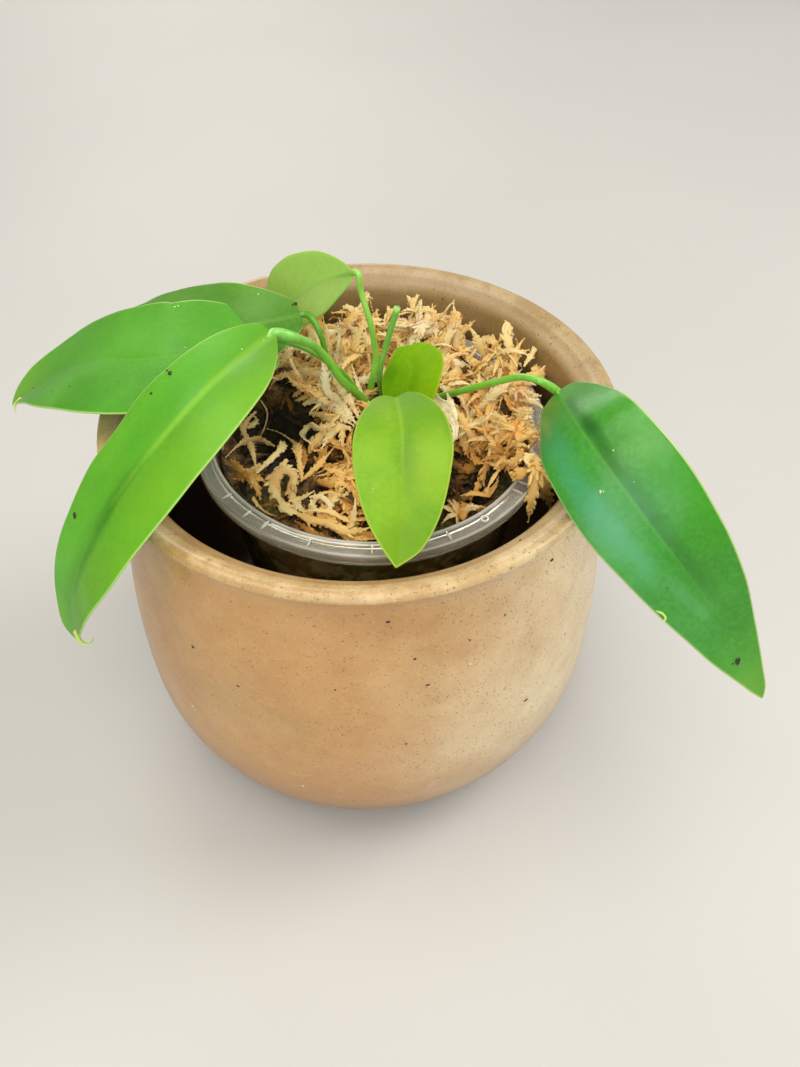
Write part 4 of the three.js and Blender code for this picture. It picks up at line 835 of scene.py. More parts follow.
# ------------------------------------------------------------------ stoneware pot
def revolve(profile, segments, centre=(0.0, 0.0), wob=None):
    """Closed surface of revolution; profile runs from the axis to the axis."""
    p = np.asarray(profile, float)
    inner = p[1:-1]
    a = np.linspace(0, 2 * np.pi, segments, endpoint=False)
    R, A = np.meshgrid(inner[:, 0], a, indexing="ij")
    Z = np.repeat(inner[:, 1][:, None], segments, 1)
    if wob is not None:
        dr, dz = wob(R, Z, A)
        R, Z = R + dr, Z + dz
    verts = np.stack([centre[0] + R * np.cos(A), centre[1] + R * np.sin(A), Z], -1).reshape(-1, 3)
    quads = grid_quads(len(inner), segments, wrap=True, flip=True)
    m = len(verts)
    verts = np.vstack([verts, [centre[0], centre[1], p[0, 1]], [centre[0], centre[1], p[-1, 1]]])
    k = np.arange(segments)
    k2 = (k + 1) % segments
    last = (len(inner) - 1) * segments
    tris = np.vstack([np.stack([np.full(segments, m), k2, k], -1), np.stack([np.full(segments, m + 1), last + k, last + k2], -1)])
    s = np.r_[0, np.cumsum(np.linalg.norm(np.diff(inner, axis=0), axis=1))]
    along = np.r_[np.repeat(s, segments), 0.0, s[-1]]
    return verts, tris, quads, along


def pot_profile():
    out = [[67.1, 2.0]]
    for z in (5, 10, 16, 24, 31):
        out.append([66.9 + 13.83 * (1 - (1 - z / 38.6) ** 2.09), z])
    out.append([80.73, 38.6])
    for z in (54, 70, 84, 96, 106, 112.5):
        s = (z - 38.6) / (117 - 38.6)
        out.append([80.73 + (69.8 - 80.73) * s * s, z])
    lip = [[69.8, 117.5], [70.3, 121.2], [72.0, 124.6], [73.9, 126.6], [75.0, 128.4], [74.3, 129.65], [72.6, 130.0], [70.4, 129.1], [67.9, 127.5], [65.7, 125.4], [64.3, 121.5], [63.6, 117]]
    inner = [[64.2, 111], [66.4, 104], [69.6, 92], [72.4, 76], [74.2, 58], [74.6, 42], [73.8, 30], [71.4, 20], [66, 11.5], [58, 7.4]]
    curve = catmull(out + lip + inner, 5)
    foot = [[0, 0.6], [40, 0.6], [60.5, 0.55], [61.2, 0.05], [63.6, 0.0], [65.6, 0.5]]
    return np.vstack([foot, curve, [[40, 7.1], [0, 7.0]]])


def pot_wobble(R, Z, A):
    # Thrown by hand: a slight swell round the lip and faint throwing rings.
    top = np.clip((Z - 100) / 30, 0, 1)
    dr = 0.22 * top * np.sin(2 * A + 0.7) + 0.10 * top * np.sin(5 * A + 1.9) + 0.05 * np.sin(Z / 1.9) * np.clip((Z - 8) / 20, 0, 1) * (R < 75)
    dz = 0.16 * np.clip((Z - 118) / 12, 0, 1) * np.sin(3 * A + 0.4)
    return dr, dz


def stoneware_material():
    t = Tree("stoneware_glaze")
    s = t.attr("inside")
    crest = t.attr("crest")
    sep = t.nodes.new("ShaderNodeSeparateXYZ")
    t.links.new(t.obj, sep.inputs[0])
    x, y, z = sep.outputs
    cloud = t.noise(16, 4, 0.6)
    mottle = t.noise(110, 5, 0.7)
    # Painted light and shade: the pot's right side is paler, as if lit, and its left side warmer and darker, as if in
    # shade; both carry the mottling.
    warm = t.ramp(t.math("ADD", t.math("MULTIPLY", cloud, 0.55), t.math("MULTIPLY", mottle, 0.45)), [(0.36, srgb(178, 126, 68)), (0.5, srgb(190, 139, 80)), (0.64, srgb(200, 150, 92))])
    pale = t.ramp(t.math("ADD", t.math("MULTIPLY", cloud, 0.4), t.math("MULTIPLY", mottle, 0.6)), [(0.36, srgb(214, 188, 144)), (0.5, srgb(226, 202, 160)), (0.64, srgb(234, 214, 176))])
    side = t.math("ADD", x, t.math("MULTIPLY", t.math("SUBTRACT", cloud, 0.5), 0.06))
    body = t.mix(t.smooth(side, 0.0, 0.075), warm, pale)
    pink = t.smooth(t.noise(34, 3, 0.6, vec=t.vmath("ADD", t.obj, (0.4, 0.1, 0.2))), 0.5, 0.72)
    body = t.mix(t.math("MULTIPLY", pink, 0.18), body, srgb(190, 142, 108))
    olive = t.smooth(t.noise(28, 3, 0.6, vec=t.vmath("ADD", t.obj, (0.1, 0.7, 0.2))), 0.52, 0.74)
    body = t.mix(t.math("MULTIPLY", olive, 0.26), body, srgb(168, 146, 90))
    body = t.mix(t.smooth(z, 0.06, 0.0, 0.0, 0.95), body, srgb(138, 88, 40))
    # Inside the glaze is browner, with faint runs down the wall; painted shade darkens it with depth and on the
    # right-hand inner wall.
    ang = t.math("ARCTAN2", y, x)
    comb = t.nodes.new("ShaderNodeCombineXYZ")
    t.put(comb.inputs[0], t.math("MULTIPLY", ang, 14.0))
    t.put(comb.inputs[1], t.math("MULTIPLY", z, 22.0))
    comb.inputs[2].default_value = 0.0
    runs = t.math("ADD", t.math("MULTIPLY", t.noise(9.0, 5, 0.65, vec=comb.outputs[0]), 0.6), t.math("MULTIPLY", mottle, 0.4))
    inner = t.mix(t.smooth(runs, 0.36, 0.66), srgb(160, 129, 76), srgb(184, 151, 96))
    inner = t.mix(t.math("MULTIPLY", t.smooth(t.noise(500, 3, 0.7), 0.5, 0.7), 0.3), inner, srgb(140, 100, 54))
    # Painted shade: near black deep inside, and darker on the right-hand inner wall.
    inner = t.mix(t.smooth(z, 0.112, 0.07), inner, srgb(52, 36, 20))
    inner = t.mix(t.math("MULTIPLY", t.smooth(x, 0.015, 0.06), 0.45), inner, srgb(112, 88, 48))
    body = t.mix(s, body, inner)
    # The lip: a little paler, with thin brown breaks.
    edge = t.mix(t.smooth(t.noise(95, 4, 0.65), 0.4, 0.64), srgb(176, 147, 94), srgb(214, 190, 142))
    body = t.mix(t.math("MULTIPLY", crest, 0.75), body, edge)
    # Painted shade darkens the right of the lip; a painted highlight makes its left paler and yellower.
    body = t.mix(t.math("MULTIPLY", t.math("MULTIPLY", crest, t.smooth(x, 0.03, 0.065)), 0.5), body, srgb(132, 106, 56))
    body = t.mix(t.math("MULTIPLY", t.math("MULTIPLY", crest, t.smooth(x, -0.04, -0.068)), 0.35), body, srgb(222, 208, 130))
    thin = t.math("MULTIPLY", crest, t.smooth(t.noise(330, 4, 0.7), 0.58, 0.7))
    body = t.mix(t.math("MULTIPLY", thin, 0.4), body, srgb(122, 84, 46))
    body = t.mix(t.math("MULTIPLY", t.smooth(y, 0.03, 0.07), 0.55), body, srgb(146, 118, 76))
    # Darker along the inner turn of the lip.
    turn = t.math("MULTIPLY", t.smooth(s, 0.0, 0.12), t.smooth(s, 0.5, 0.2))
    body = t.mix(t.math("MULTIPLY", turn, 0.32), body, srgb(118, 88, 44))
    # Iron specks of several sizes, denser on one side.
    dense = t.math("MULTIPLY", t.smooth(x, -0.06, 0.06, 0.5, 1.0), t.smooth(t.noise(58, 3, 0.65, vec=t.vmath("ADD", t.obj, (0.6, 0.2, 0.3))), 0.34, 0.6, 0.3, 1.3))

    def specks(scale, share, small, spread, soft):
        sp = t.nodes.new("ShaderNodeSeparateColor")
        cell = t.voronoi(scale, out="Color")
        t.links.new(cell, sp.inputs[0])
        pick = t.math("LESS_THAN", sp.outputs[0], t.math("MULTIPLY", dense, share))
        size = t.math("ADD", t.math("MULTIPLY", sp.outputs[1], spread), small)
        return t.math("MULTIPLY", t.smooth(t.math("DIVIDE", cell.node.outputs["Distance"], size), 1.0, soft), pick)

    fine = specks(1000, 0.85, 0.13, 0.24, 0.45)
    mid = specks(560, 0.5, 0.09, 0.17, 0.5)
    big = specks(230, 0.16, 0.05, 0.09, 0.65)
    body = t.mix(t.math("MULTIPLY", fine, 0.75), body, srgb(126, 88, 50))
    body = t.mix(t.math("MULTIPLY", mid, 0.68), body, srgb(104, 72, 42))
    body = t.mix(t.math("MULTIPLY", big, 0.85), body, srgb(60, 42, 30))
    grain = t.noise(1500, 3, 0.7)
    body = t.mix(t.math("MULTIPLY", t.smooth(grain, 0.54, 0.72), 0.28), body, srgb(160, 118, 72))
    body = t.mix(t.math("MULTIPLY", t.smooth(grain, 0.44, 0.3), 0.22), body, srgb(234, 206, 162))
    bare = t.smooth(z, 0.0022, 0.0006)
    body = t.mix(bare, body, srgb(186, 150, 112))
    rough = t.math("ADD", t.math("MULTIPLY", t.noise(45, 3, 0.6), 0.16), 0.30)
    rough = t.math("ADD", rough, t.math("MULTIPLY", bare, 0.4), clamp=True)
    rough = t.math("ADD", rough, t.math("MULTIPLY", s, 0.12))
    h = t.math("ADD", t.math("MULTIPLY", t.noise(330, 3, 0.5), 0.35), t.math("MULTIPLY", t.noise(90, 3, 0.5), 0.6))
    h = t.math("SUBTRACT", h, t.math("MULTIPLY", big, 0.5))
    t.principled(Base_Color=body, Roughness=rough, IOR=1.5, Normal=t.bump(h, 0.2, 0.0006), Coat_Weight=0.28, Coat_Roughness=0.22)
    return t.mat


prof = pot_profile()
v, t3, q4, along = revolve(prof, 192, wob=pot_wobble)
rad, zz = np.hypot(v[:, 0], v[:, 1]), v[:, 2]
s_lip = along[np.argmin((rad - 72.6) ** 2 + (zz - 130.0) ** 2)]
inside = np.clip((along - s_lip - 3.0) / 7.0, 0, 1)
crest = np.exp(-((along - s_lip - 0.5) / 4.6) ** 2)
me = build_mesh("outer_pot_glazed", v, t3, q4, {"inside": inside, "crest": crest})
add_piece("outer_pot_glazed", me, stoneware_material(), ("outer_pot",))


def on_pot(px, py):
    """Point and normal of the stoneware under a pixel."""
    r = ray(px, py)
    P = EYE + r * np.linspace((131 - EYE[2]) / r[2], (0 - EYE[2]) / r[2], 3000)[:, None]
    outer = prof[(along_prof <= s_lip)]
    rad = np.interp(P[:, 2], outer[:, 1], outer[:, 0])
    hit = np.argmax(np.hypot(P[:, 0], P[:, 1]) <= rad)
    p = P[hit]
    dz = 0.6
    slope = (np.interp(p[2] + dz, outer[:, 1], outer[:, 0]) - np.interp(p[2] - dz, outer[:, 1], outer[:, 0])) / (2 * dz)
    h = np.array([p[0], p[1], 0]) / math.hypot(p[0], p[1])
    return p, unit(h - np.array([0, 0, slope]))


along_prof = np.r_[0, 0, np.cumsum(np.linalg.norm(np.diff(prof[1:-1], axis=0), axis=1)), 1e9]
for label, flecks, mats in (
        ("outer_pot_pits", [(193, 647, 0.55), (526, 700, 0.5), (415, 659, 0.4), (428, 685, 0.35), (335, 690, 0.3), (552, 560, 0.45), (520, 540, 0.35), (238, 686, 0.3), (470, 640, 0.3), (388, 622, 0.35), (505, 615, 0.3)], (srgb(48, 34, 24), srgb(84, 58, 38))),
        ("outer_pot_flecks", [(303, 786, 0.4), (193, 706, 0.4), (195, 710, 0.25), (343, 594, 0.35), (348, 595, 0.25), (470, 664, 0.25)], (srgb(226, 208, 176), srgb(240, 228, 204)))):
    bits = []
    for k, (px, py, size) in enumerate(flecks):
        c, nn_ = on_pot(px, py)
        bits.append(bead(c + nn_ * 0.02, nn_, size, 0.22, 200 + k, axis=(0, 0.2, 1), long=1.0 + 0.8 * (k % 2)))
    V_, T_, Q_, A_ = join_arrays(bits)
    add_piece(label, build_mesh(label, V_, T_, Q_), speck_material(label + "_mat", *mats))


# ------------------------------------------------------------------ clear nursery pot
CX = 3.0
CLEAR_SEG = 180


def clear_profile():
    pts = [[0, 7.65], [20, 7.7], [35.2, 7.7], [36.4, 8.1], [36.9, 9.0]]
    for z in (20, 40, 60, 80, 100, 112):
        pts.append([36.9 + (48.19 - 36.9) * (z - 9) / (118.5 - 9) - 0.1, z])
    pts += [[48.1, 117.7], [48.5, 118.3], [51.2, 118.45], [51.75, 118.2], [51.9, 117.2], [51.95, 116.2], [52.35, 115.9], [52.8, 116.1], [52.94, 117.0], [52.94, 119.2], [52.7, 119.75], [52.1, 119.95],
            [50.6, 119.55], [49.6, 119.5], [48.9, 119.6], [48.5, 120.0], [48.0, 120.05], [47.55, 119.75], [47.3, 118.9], [47.1, 117.5]]
    for z in (112, 100, 80, 60, 40, 20, 10):
        pts.append([36.9 + (48.19 - 36.9) * (z - 9) / (118.5 - 9) - 0.98, z])
    pts += [[35.3, 9.1], [34.0, 8.75], [0, 8.7]]
    return np.array(pts)


def clear_wobble(R, Z, A):
    # The thin flange waves a little, and so does the wall.
    top = np.clip((Z - 112) / 7, 0, 1)
    dz = top * (0.22 * np.sin(2 * A + 1.0) + 0.14 * np.sin(5 * A) + 0.05 * np.sin(11 * A + 2))
    dr = (1 - top) * 0.12 * np.sin(6 * A + Z / 30)
    return dr, dz


def plastic_material():
    t = Tree("clear_plastic_moulded")
    milk_and_glint = t.attr("milk_and_glint")
    tint = t.mix(t.smooth(t.noise(60, 3, 0.6), 0.4, 0.7), (0.94, 0.90, 0.80), (0.88, 0.84, 0.72))
    scuff = t.smooth(t.noise(260, 4, 0.65), 0.5, 0.72)
    rough = t.math("ADD", t.math("MULTIPLY", scuff, 0.12), 0.06)
    h = t.math("ADD", t.math("MULTIPLY", t.noise(120, 2, 0.5), 0.7), t.math("MULTIPLY", t.noise(900, 3, 0.6), 0.1))
    bump = t.bump(h, 0.25, 0.0006)
    p = t.principled(Base_Color=tint, Roughness=rough, IOR=1.4, Transmission_Weight=t.math("SUBTRACT", 1.0, t.math("MULTIPLY", milk_and_glint, 0.72), clamp=True), Normal=bump)
    return t.mat


PLASTIC = plastic_material()
prof = clear_profile()
v, t3, q4, along = revolve(prof, CLEAR_SEG, centre=(CX, 0.0), wob=clear_wobble)
# Milky where the plastic is thick or turns: the flange a little, its edges most; the white lines along its edges are
# partly painted highlights.
rad_, z_ = np.hypot(v[:, 0] - CX, v[:, 1]), v[:, 2]
milk_and_glint = 0.26 * np.clip((z_ - 114.5) / 2.0, 0, 1) * np.clip((rad_ - 46.5) / 1.0, 0, 1)
milk_and_glint = np.maximum(milk_and_glint, 0.16 * np.exp(-((rad_ - 52.9) / 0.35) ** 2) * np.clip((z_ - 115.5), 0, 1))
milk_and_glint = np.maximum(milk_and_glint, 0.95 * np.exp(-((rad_ - 52.9) / 0.35) ** 2 - ((z_ - 119.6) / 0.4) ** 2))
milk_and_glint = np.maximum(milk_and_glint, 0.95 * np.exp(-((rad_ - 52.4) / 0.7) ** 2 - ((z_ - 116.0) / 0.45) ** 2))
milk_and_glint = np.maximum(milk_and_glint, 0.85 * np.exp(-((rad_ - 48.2) / 0.5) ** 2) * np.clip((z_ - 119.2) * 2, 0, 1))
parts = [(v, t3, q4, {"milk_and_glint": milk_and_glint})]


def rib(angle, r0, r1, z, width, height, lean=0.0):
    """A low moulded rib on the flange, with softened ends."""
    k = 9
    f = np.linspace(0, 1, k)
    a = math.radians(angle) + lean * (f - 0.5)
    rr = r0 + (r1 - r0) * f
    p = np.stack([CX + rr * np.cos(a), rr * np.sin(a), np.full(k, z)], -1)
    rad = width / 2 * (0.55 + 0.45 * np.sin(np.pi * np.clip(f, 0.05, 0.95)))
    vv, tt, qq, al = tube_arrays(p, rad, 8, flat=height / (width / 2))
    return vv, tt, qq, {"milk_and_glint": np.full(len(vv), 0.8)}


def flange_angle(px, py):
    p = at_height(px, py, 119.7)
    return math.degrees(math.atan2(p[1], p[0] - CX))


for (px, py, w) in ((250, 512, 0.7), (265, 525, 1.1), (310, 541, 0.7), (372, 549, 0.6), (445, 530, 0.8), (520, 482, 0.7), (230, 495, 0.6), (512, 489, 0.5)):
    parts.append(rib(flange_angle(px, py), 48.9, 51.9, 119.75, w, 0.42))
for ang in (20, 44, 68, 92, 116, 140, 164, 188, 200):
    parts.append(rib(ang, 48.9, 51.9, 119.75, 0.7, 0.4))
# A long raised arc on the inner half of the flange, milky white as a painted highlight, and a small round boss.
a = np.radians(np.linspace(flange_angle(277, 519), flange_angle(392, 545), 40))
p = np.stack([CX + 49.3 * np.cos(a), 49.3 * np.sin(a), np.full(40, 119.85)], -1)
vv, tt, qq, al = tube_arrays(p, 0.35 + 0.08 * np.sin(np.linspace(0, 21, 40)), 8)
parts.append((vv, tt, qq, {"milk_and_glint": np.full(len(vv), 0.95)}))
ang = math.radians(flange_angle(480, 515))
c = np.array([CX + 50.4 * math.cos(ang), 50.4 * math.sin(ang), 119.65])
ring = np.radians(np.linspace(0, 360, 22))
p = np.stack([c[0] + 0.95 * np.cos(ring), c[1] + 0.95 * np.sin(ring), np.full(22, c[2] + 0.15)], -1)
vv, tt, qq, al = tube_arrays(p, 0.3, 8, round_ends=False)
parts.append((vv, tt, qq, {"milk_and_glint": np.full(len(vv), 0.95)}))
V_, T_, Q_, A_ = join_arrays(parts)
add_piece("nursery_pot_clear", build_mesh("nursery_pot_clear", V_, T_, Q_, A_), PLASTIC, ("nursery_pot",))


# ------------------------------------------------------------------ moss bed
def gauss(x, y, cx, cy, s):
    return np.exp(-((x - cx) ** 2 + (y - cy) ** 2) / (2 * s * s))


def bed_height(x, y):
    return (115.2 + 2.6 * gauss(x, y, 12, 34, 15) + 2.4 * gauss(x, y, 36, 8, 12) - 15 * gauss(x, y, -27, 8, 9.5)
            - 7 * gauss(x, y, 27, -20, 7.5) - 7.5 * gauss(x, y, 3.3, 18.5, 6.5) + 1.2 * gauss(x, y, -4, -28, 12))


TUFTS = {
    "moss_tuft_back": ((-7.4, 38), 12.5, 8, 12, 6.5), "moss_tuft_back_right": ((19, 39), 13, 8.5, -14, 7),
    "moss_tuft_right": ((45, 17), 9.5, 14, -24, 6.5), "moss_tuft_right_front": ((47, -18), 9, 13, 24, 4.5),
    "moss_tuft_middle_right": ((26, 14), 8.5, 10, 0, 4.5), "moss_tuft_front": ((-1, -30), 14, 8.5, -4, 4.0),
    "moss_tuft_front_left": ((-25, -19), 8.5, 7.5, 30, 3.2), "moss_tuft_left": ((-27, 27), 6.0, 7.0, 40, 4.5),
    "moss_tuft_middle_left": ((-6, 1), 8, 7.5, 0, 3.5),
}


def smoothstep(x):
    x = np.clip(x, 0, 1)
    return x * x * (3 - 2 * x)


def heap_height(x, y):
    """Top of the loose moss: the bed, its tufts, and the clear rim where they lie over it."""
    x, y = np.asarray(x, float), np.asarray(y, float)
    h = bed_height(x, y)
    r = np.hypot(x - CX, y)
    extra = np.zeros_like(h)
    for (c, a, b, turn, rise) in TUFTS.values():
        w = math.radians(turn)
        dx, dy = x - c[0], y - c[1]
        e = np.sqrt(((dx * math.cos(w) + dy * math.sin(w)) / a) ** 2 + ((-dx * math.sin(w) + dy * math.cos(w)) / b) ** 2)
        extra = np.maximum(extra, (rise + 1.2) * np.sqrt(np.clip(1 - (e / 1.12) ** 2, 0, None)))
    over = h + (np.maximum(h, 120.6) - h) * smoothstep((r - 41.5) / 3.2) * (extra > 0.4)
    return over + extra


bed_rings, bed_seg = 42, 120
a = np.linspace(0, 2 * np.pi, bed_seg, endpoint=False)
rows = []
for f in np.linspace(0.02, 1, bed_rings):
    R = 46.0 * f * np.ones(bed_seg)
    x, y = CX + R * np.cos(a), R * np.sin(a)
    rows.append(np.stack([x, y, bed_height(x, y)], -1))
top_rows = len(rows)
for z in np.linspace(113.0, 11.0, 34):
    R = (36.9 + (48.19 - 36.9) * (z - 9) / (118.5 - 9) - 1.55) * np.ones(bed_seg)
    rows.append(np.stack([CX + R * np.cos(a), R * np.sin(a), np.full(bed_seg, z)], -1))
for f in (0.85, 0.5, 0.1):
    rows.append(np.stack([CX + 34.5 * f * np.cos(a), 34.5 * f * np.sin(a), np.full(bed_seg, 9.9)], -1))
G = np.array(rows)
lump = wobble(G, 5.0, 3.0) * 0.8 + wobble(G, 2.2, 11.0) * 0.45
bump_ = np.where(np.arange(len(rows)) < top_rows, 1.0, 0.0)[:, None]
G[..., 2] += bump_ * (lump * 1.6 - 1.2)
rr = np.hypot(G[..., 0] - CX, G[..., 1])
pull = (1 - bump_) * (np.clip(-lump, 0, 1) * 1.3)
G[..., 0] -= (G[..., 0] - CX) / np.maximum(rr, 1) * pull
G[..., 1] -= G[..., 1] / np.maximum(rr, 1) * pull
verts = G.reshape(-1, 3)
m = len(verts)
quads = grid_quads(len(rows), bed_seg, wrap=True, flip=False)
verts = np.vstack([verts, [CX, 0, bed_height(CX, 0.0) - 1], [CX, 0, 9.9]])
k = np.arange(bed_seg)
k2 = (k + 1) % bed_seg
last = (len(rows) - 1) * bed_seg
tris = np.vstack([np.stack([np.full(bed_seg, m), k, k2], -1), np.stack([np.full(bed_seg, m + 1), last + k2, last + k], -1)])


def bed_material():
    t = Tree("moss_bed_damp_and_painted_light")
    fibre = t.noise(300, 5, 0.7, dist=1.8)
    blot = t.noise(70, 3, 0.6)
    body = t.ramp(fibre, [(0.3, srgb(36, 26, 12)), (0.46, srgb(104, 74, 32)), (0.58, srgb(168, 124, 62)), (0.72, srgb(214, 176, 110))])
    algae = t.smooth(t.noise(48, 3, 0.6, vec=t.vmath("ADD", t.obj, (0.2, 0.5, 0.9))), 0.42, 0.58)
    body = t.mix(t.math("MULTIPLY", algae, 0.75), body, t.ramp(fibre, [(0.35, srgb(20, 24, 8)), (0.55, srgb(84, 90, 26)), (0.72, srgb(150, 146, 62))]))
    wall = t.attr("wall")
    body = t.mix(t.math("MULTIPLY", t.smooth(blot, 0.52, 0.36), t.math("SUBTRACT", 0.85, t.math("MULTIPLY", wall, 0.35))), body, srgb(16, 13, 8))
    # Painted light: the moss against the clear wall is made pale, as if lit through the plastic.
    body = t.mix(t.math("MULTIPLY", wall, 0.62), body, t.mix(algae, srgb(246, 206, 128), srgb(186, 186, 78)))
    sep = t.nodes.new("ShaderNodeSeparateXYZ")
    t.links.new(t.obj, sep.inputs[0])
    # Painted shade: near black deep in the hollows, below the top of the moss.
    deep = t.math("MULTIPLY", t.smooth(sep.outputs[2], 0.113, 0.106), t.math("SUBTRACT", 1.0, wall))
    body = t.mix(t.math("MULTIPLY", deep, 0.9), body, t.ramp(fibre, [(0.35, srgb(8, 10, 4)), (0.6, srgb(44, 50, 16)), (0.75, srgb(70, 76, 26))]))
    # Paler clumps on the wall side: painted light.
    lit_clump = t.smooth(t.noise(120, 3, 0.6, vec=t.vmath("ADD", t.obj, (0.7, 0.3, 0.1))), 0.45, 0.56)
    body = t.mix(t.math("MULTIPLY", t.math("MULTIPLY", lit_clump, wall), 0.85), body, srgb(255, 232, 172))
    h = t.math("ADD", t.math("MULTIPLY", fibre, 1.0), t.math("MULTIPLY", t.noise(900, 3, 0.6), 0.3))
    t.principled(Base_Color=body, Roughness=t.math("ADD", t.math("MULTIPLY", fibre, 0.3), 0.6), Normal=t.bump(h, 0.9, 0.002))
    return t.mat


wall = np.r_[np.repeat(1.0 - bump_[:, 0], bed_seg), 0.0, 1.0]
add_piece("moss_bed_packed", build_mesh("moss_bed_packed", verts, tris, quads, {"wall": wall}), bed_material(), ("moss_bed",))


# ------------------------------------------------------------------ sphagnum strands
# One strand is a thin stem clothed in small pointed leaflets, flattened like a feather.
LT = np.array([0.0, 0.36, 0.72])                      # stations along a leaflet
LW = np.array([0.36, 0.50, 0.33])                     # half width there, as a share of width
LH = np.array([0.50, 0.50, 0.34])                     # half thickness


def leaflet_arrays(origin, axis, wide, norm, length, width, thick, curl, tint, tipv):
    """All leaflets at once: closed four-sided spindles that bend towards their normal."""
    M = len(origin)
    if M == 0:
        return np.zeros((0, 3)), np.zeros((0, 3), int), {}
    V = np.zeros((M, 13, 3))
    tt = np.zeros((M, 13))
    for k in range(3):
        c = origin + axis * (length * LT[k])[:, None] + norm * (curl * length * LT[k] ** 2)[:, None]
        w, h = wide * (width * LW[k])[:, None], norm * (thick * LH[k])[:, None]
        V[:, 4 * k], V[:, 4 * k + 1], V[:, 4 * k + 2], V[:, 4 * k + 3] = c + w, c + h, c - w, c - h
        tt[:, 4 * k:4 * k + 4] = LT[k]
    V[:, 12] = origin + axis * length[:, None] + norm * (curl * length)[:, None]
    tt[:, 12] = 1.0
    F = []
    for k in range(2):
        for j in range(4):
            a, b = 4 * k + j, 4 * k + (j + 1) % 4
            F += [[a, a + 4, b + 4], [a, b + 4, b]]
    for j in range(4):
        F.append([8 + j, 12, 8 + (j + 1) % 4])
    F += [[0, 1, 2], [0, 2, 3]]
    F = np.array(F)[:, ::-1]
    T = (F[None] + 13 * np.arange(M)[:, None, None]).reshape(-1, 3)
    return V.reshape(-1, 3), T, dict(tint=np.repeat(tint, 13), tip=(tt * 0.6 + np.repeat(tipv, 13).reshape(M, 13) * 0.4).ravel())


def strand(path, width, tint, rng, bare=0.0, roll=0.0, up=(0, 0, 1), flat=0.32, blunt=0.0, teeth=1.1):
    """One strand along path: a flattened body with short pointed scales along its edges and back."""
    p = np.asarray(path, float)
    seg = np.linalg.norm(np.diff(p, axis=0), axis=1)
    s = np.r_[0, np.cumsum(seg)]
    total = s[-1]
    n = max(7, int(total / 1.45))
    x = np.linspace(0, total, n)
    q = np.stack([np.interp(x, s, p[:, k]) for k in range(3)], -1)
    t, b, nn = frames_along(q, up)
    twist = roll + (0.4 * np.sin(x / 6.0 + tint * 20) if up == (0, 0, 1) else 0 * x)
    ct, st_ = np.cos(twist)[:, None], np.sin(twist)[:, None]
    b, nn = b * ct + nn * st_, nn * ct - b * st_
    f = x / total
    # Full in the middle, narrower at the foot, pointed at the tip.
    env = np.clip(np.minimum(f * 3 + 0.4, (1 - f) * (1.9 + 3 * blunt) + 0.06 + 0.44 * blunt), 0, 1)
    env = env * (1 + 0.14 * np.sin(x / 1.9 + tint * 31) + 0.08 * np.sin(x / 0.9 + tint * 17))
    if bare >= 1:
        bv, bt, bq, al = tube_arrays(q, np.maximum(width * 0.5 * env, 0.12), 7, flat=0.85, frame_=(t, b, nn))
        return join_arrays([(bv, bt, bq, dict(tint=np.full(len(bv), tint), tip=al * 0.5))])
    hw = np.maximum(0.41 * width * env, 0.12)
    bv, bt, bq, al = tube_arrays(q, hw, 8, flat=flat, frame_=(t, b, nn))
    parts = [(bv, bt, bq, dict(tint=np.full(len(bv), tint), tip=al * 0.6))]
    O, Ax, Wd, Nm, Ln, Wi, Th, Cu, Ti, Tp = [], [], [], [], [], [], [], [], [], []
    for side in (-1, 1, 0, 2):
        share = {-1: 0.8, 1: 0.8, 0: 0.16, 2: 0.03}[side]
        idx = np.nonzero(rng.random(n) < share * (1 - bare))[0]
        if not len(idx):
            continue
        k = len(idx)
        edge_ = side in (-1, 1)
        sgn = np.full(k, float(side)) if edge_ else rng.choice([-1.0, 1.0], k)
        ang = (rng.normal(0.46, 0.14, k) * (1 - 0.35 * f[idx])) if edge_ else rng.normal(0.2, 0.14, k)
        lift = rng.normal(0.05, 0.10, k) if edge_ else (rng.normal(0.14, 0.07, k) if side == 0 else rng.normal(-0.14, 0.07, k))
        ax = unit(t[idx] * np.cos(ang)[:, None] + b[idx] * (sgn * np.sin(ang))[:, None] + nn[idx] * lift[:, None])
        wd = unit(np.cross(nn[idx], ax) + rng.normal(0, 0.10, (k, 3)))
        nm = unit(np.cross(ax, wd))
        nm = nm * np.where((nm * nn[idx]).sum(1) < 0, -1.0, 1.0)[:, None]
        wd = np.cross(nm, ax)
        off = 0.6 * hw[idx] if edge_ else hw[idx] * rng.uniform(0, 0.45, k)
        O.append(q[idx] + b[idx] * (sgn * off)[:, None] + nn[idx] * ((0.0 if edge_ else (1 if side == 0 else -1) * flat * 0.75) * hw[idx])[:, None])
        Ax.append(ax), Wd.append(wd), Nm.append(nm)
        e = np.clip(env[idx], 0.25, 1.2)
        Ln.append(teeth * width * e * rng.uniform(0.45, 0.85, k) * (1.0 if edge_ else 0.9))
        Wi.append(width * 0.40 * np.sqrt(e) * rng.uniform(0.85, 1.2, k))
        Th.append(np.full(k, 0.40 if edge_ else 0.32))
        Cu.append(rng.normal(0.04, 0.16, k) if edge_ else rng.normal(0.0, 0.10, k) * 1.0)
        Ti.append(np.clip(tint + rng.normal(0, 0.045, k), 0, 1))
        Tp.append(f[idx])
    cat = np.concatenate
    lv_, lt_, la_ = leaflet_arrays(cat(O), cat(Ax), cat(Wd), cat(Nm), cat(Ln), cat(Wi), cat(Th), cat(Cu), cat(Ti), cat(Tp))
    parts.append((lv_, lt_, np.zeros((0, 4), int), la_))
    return join_arrays(parts)


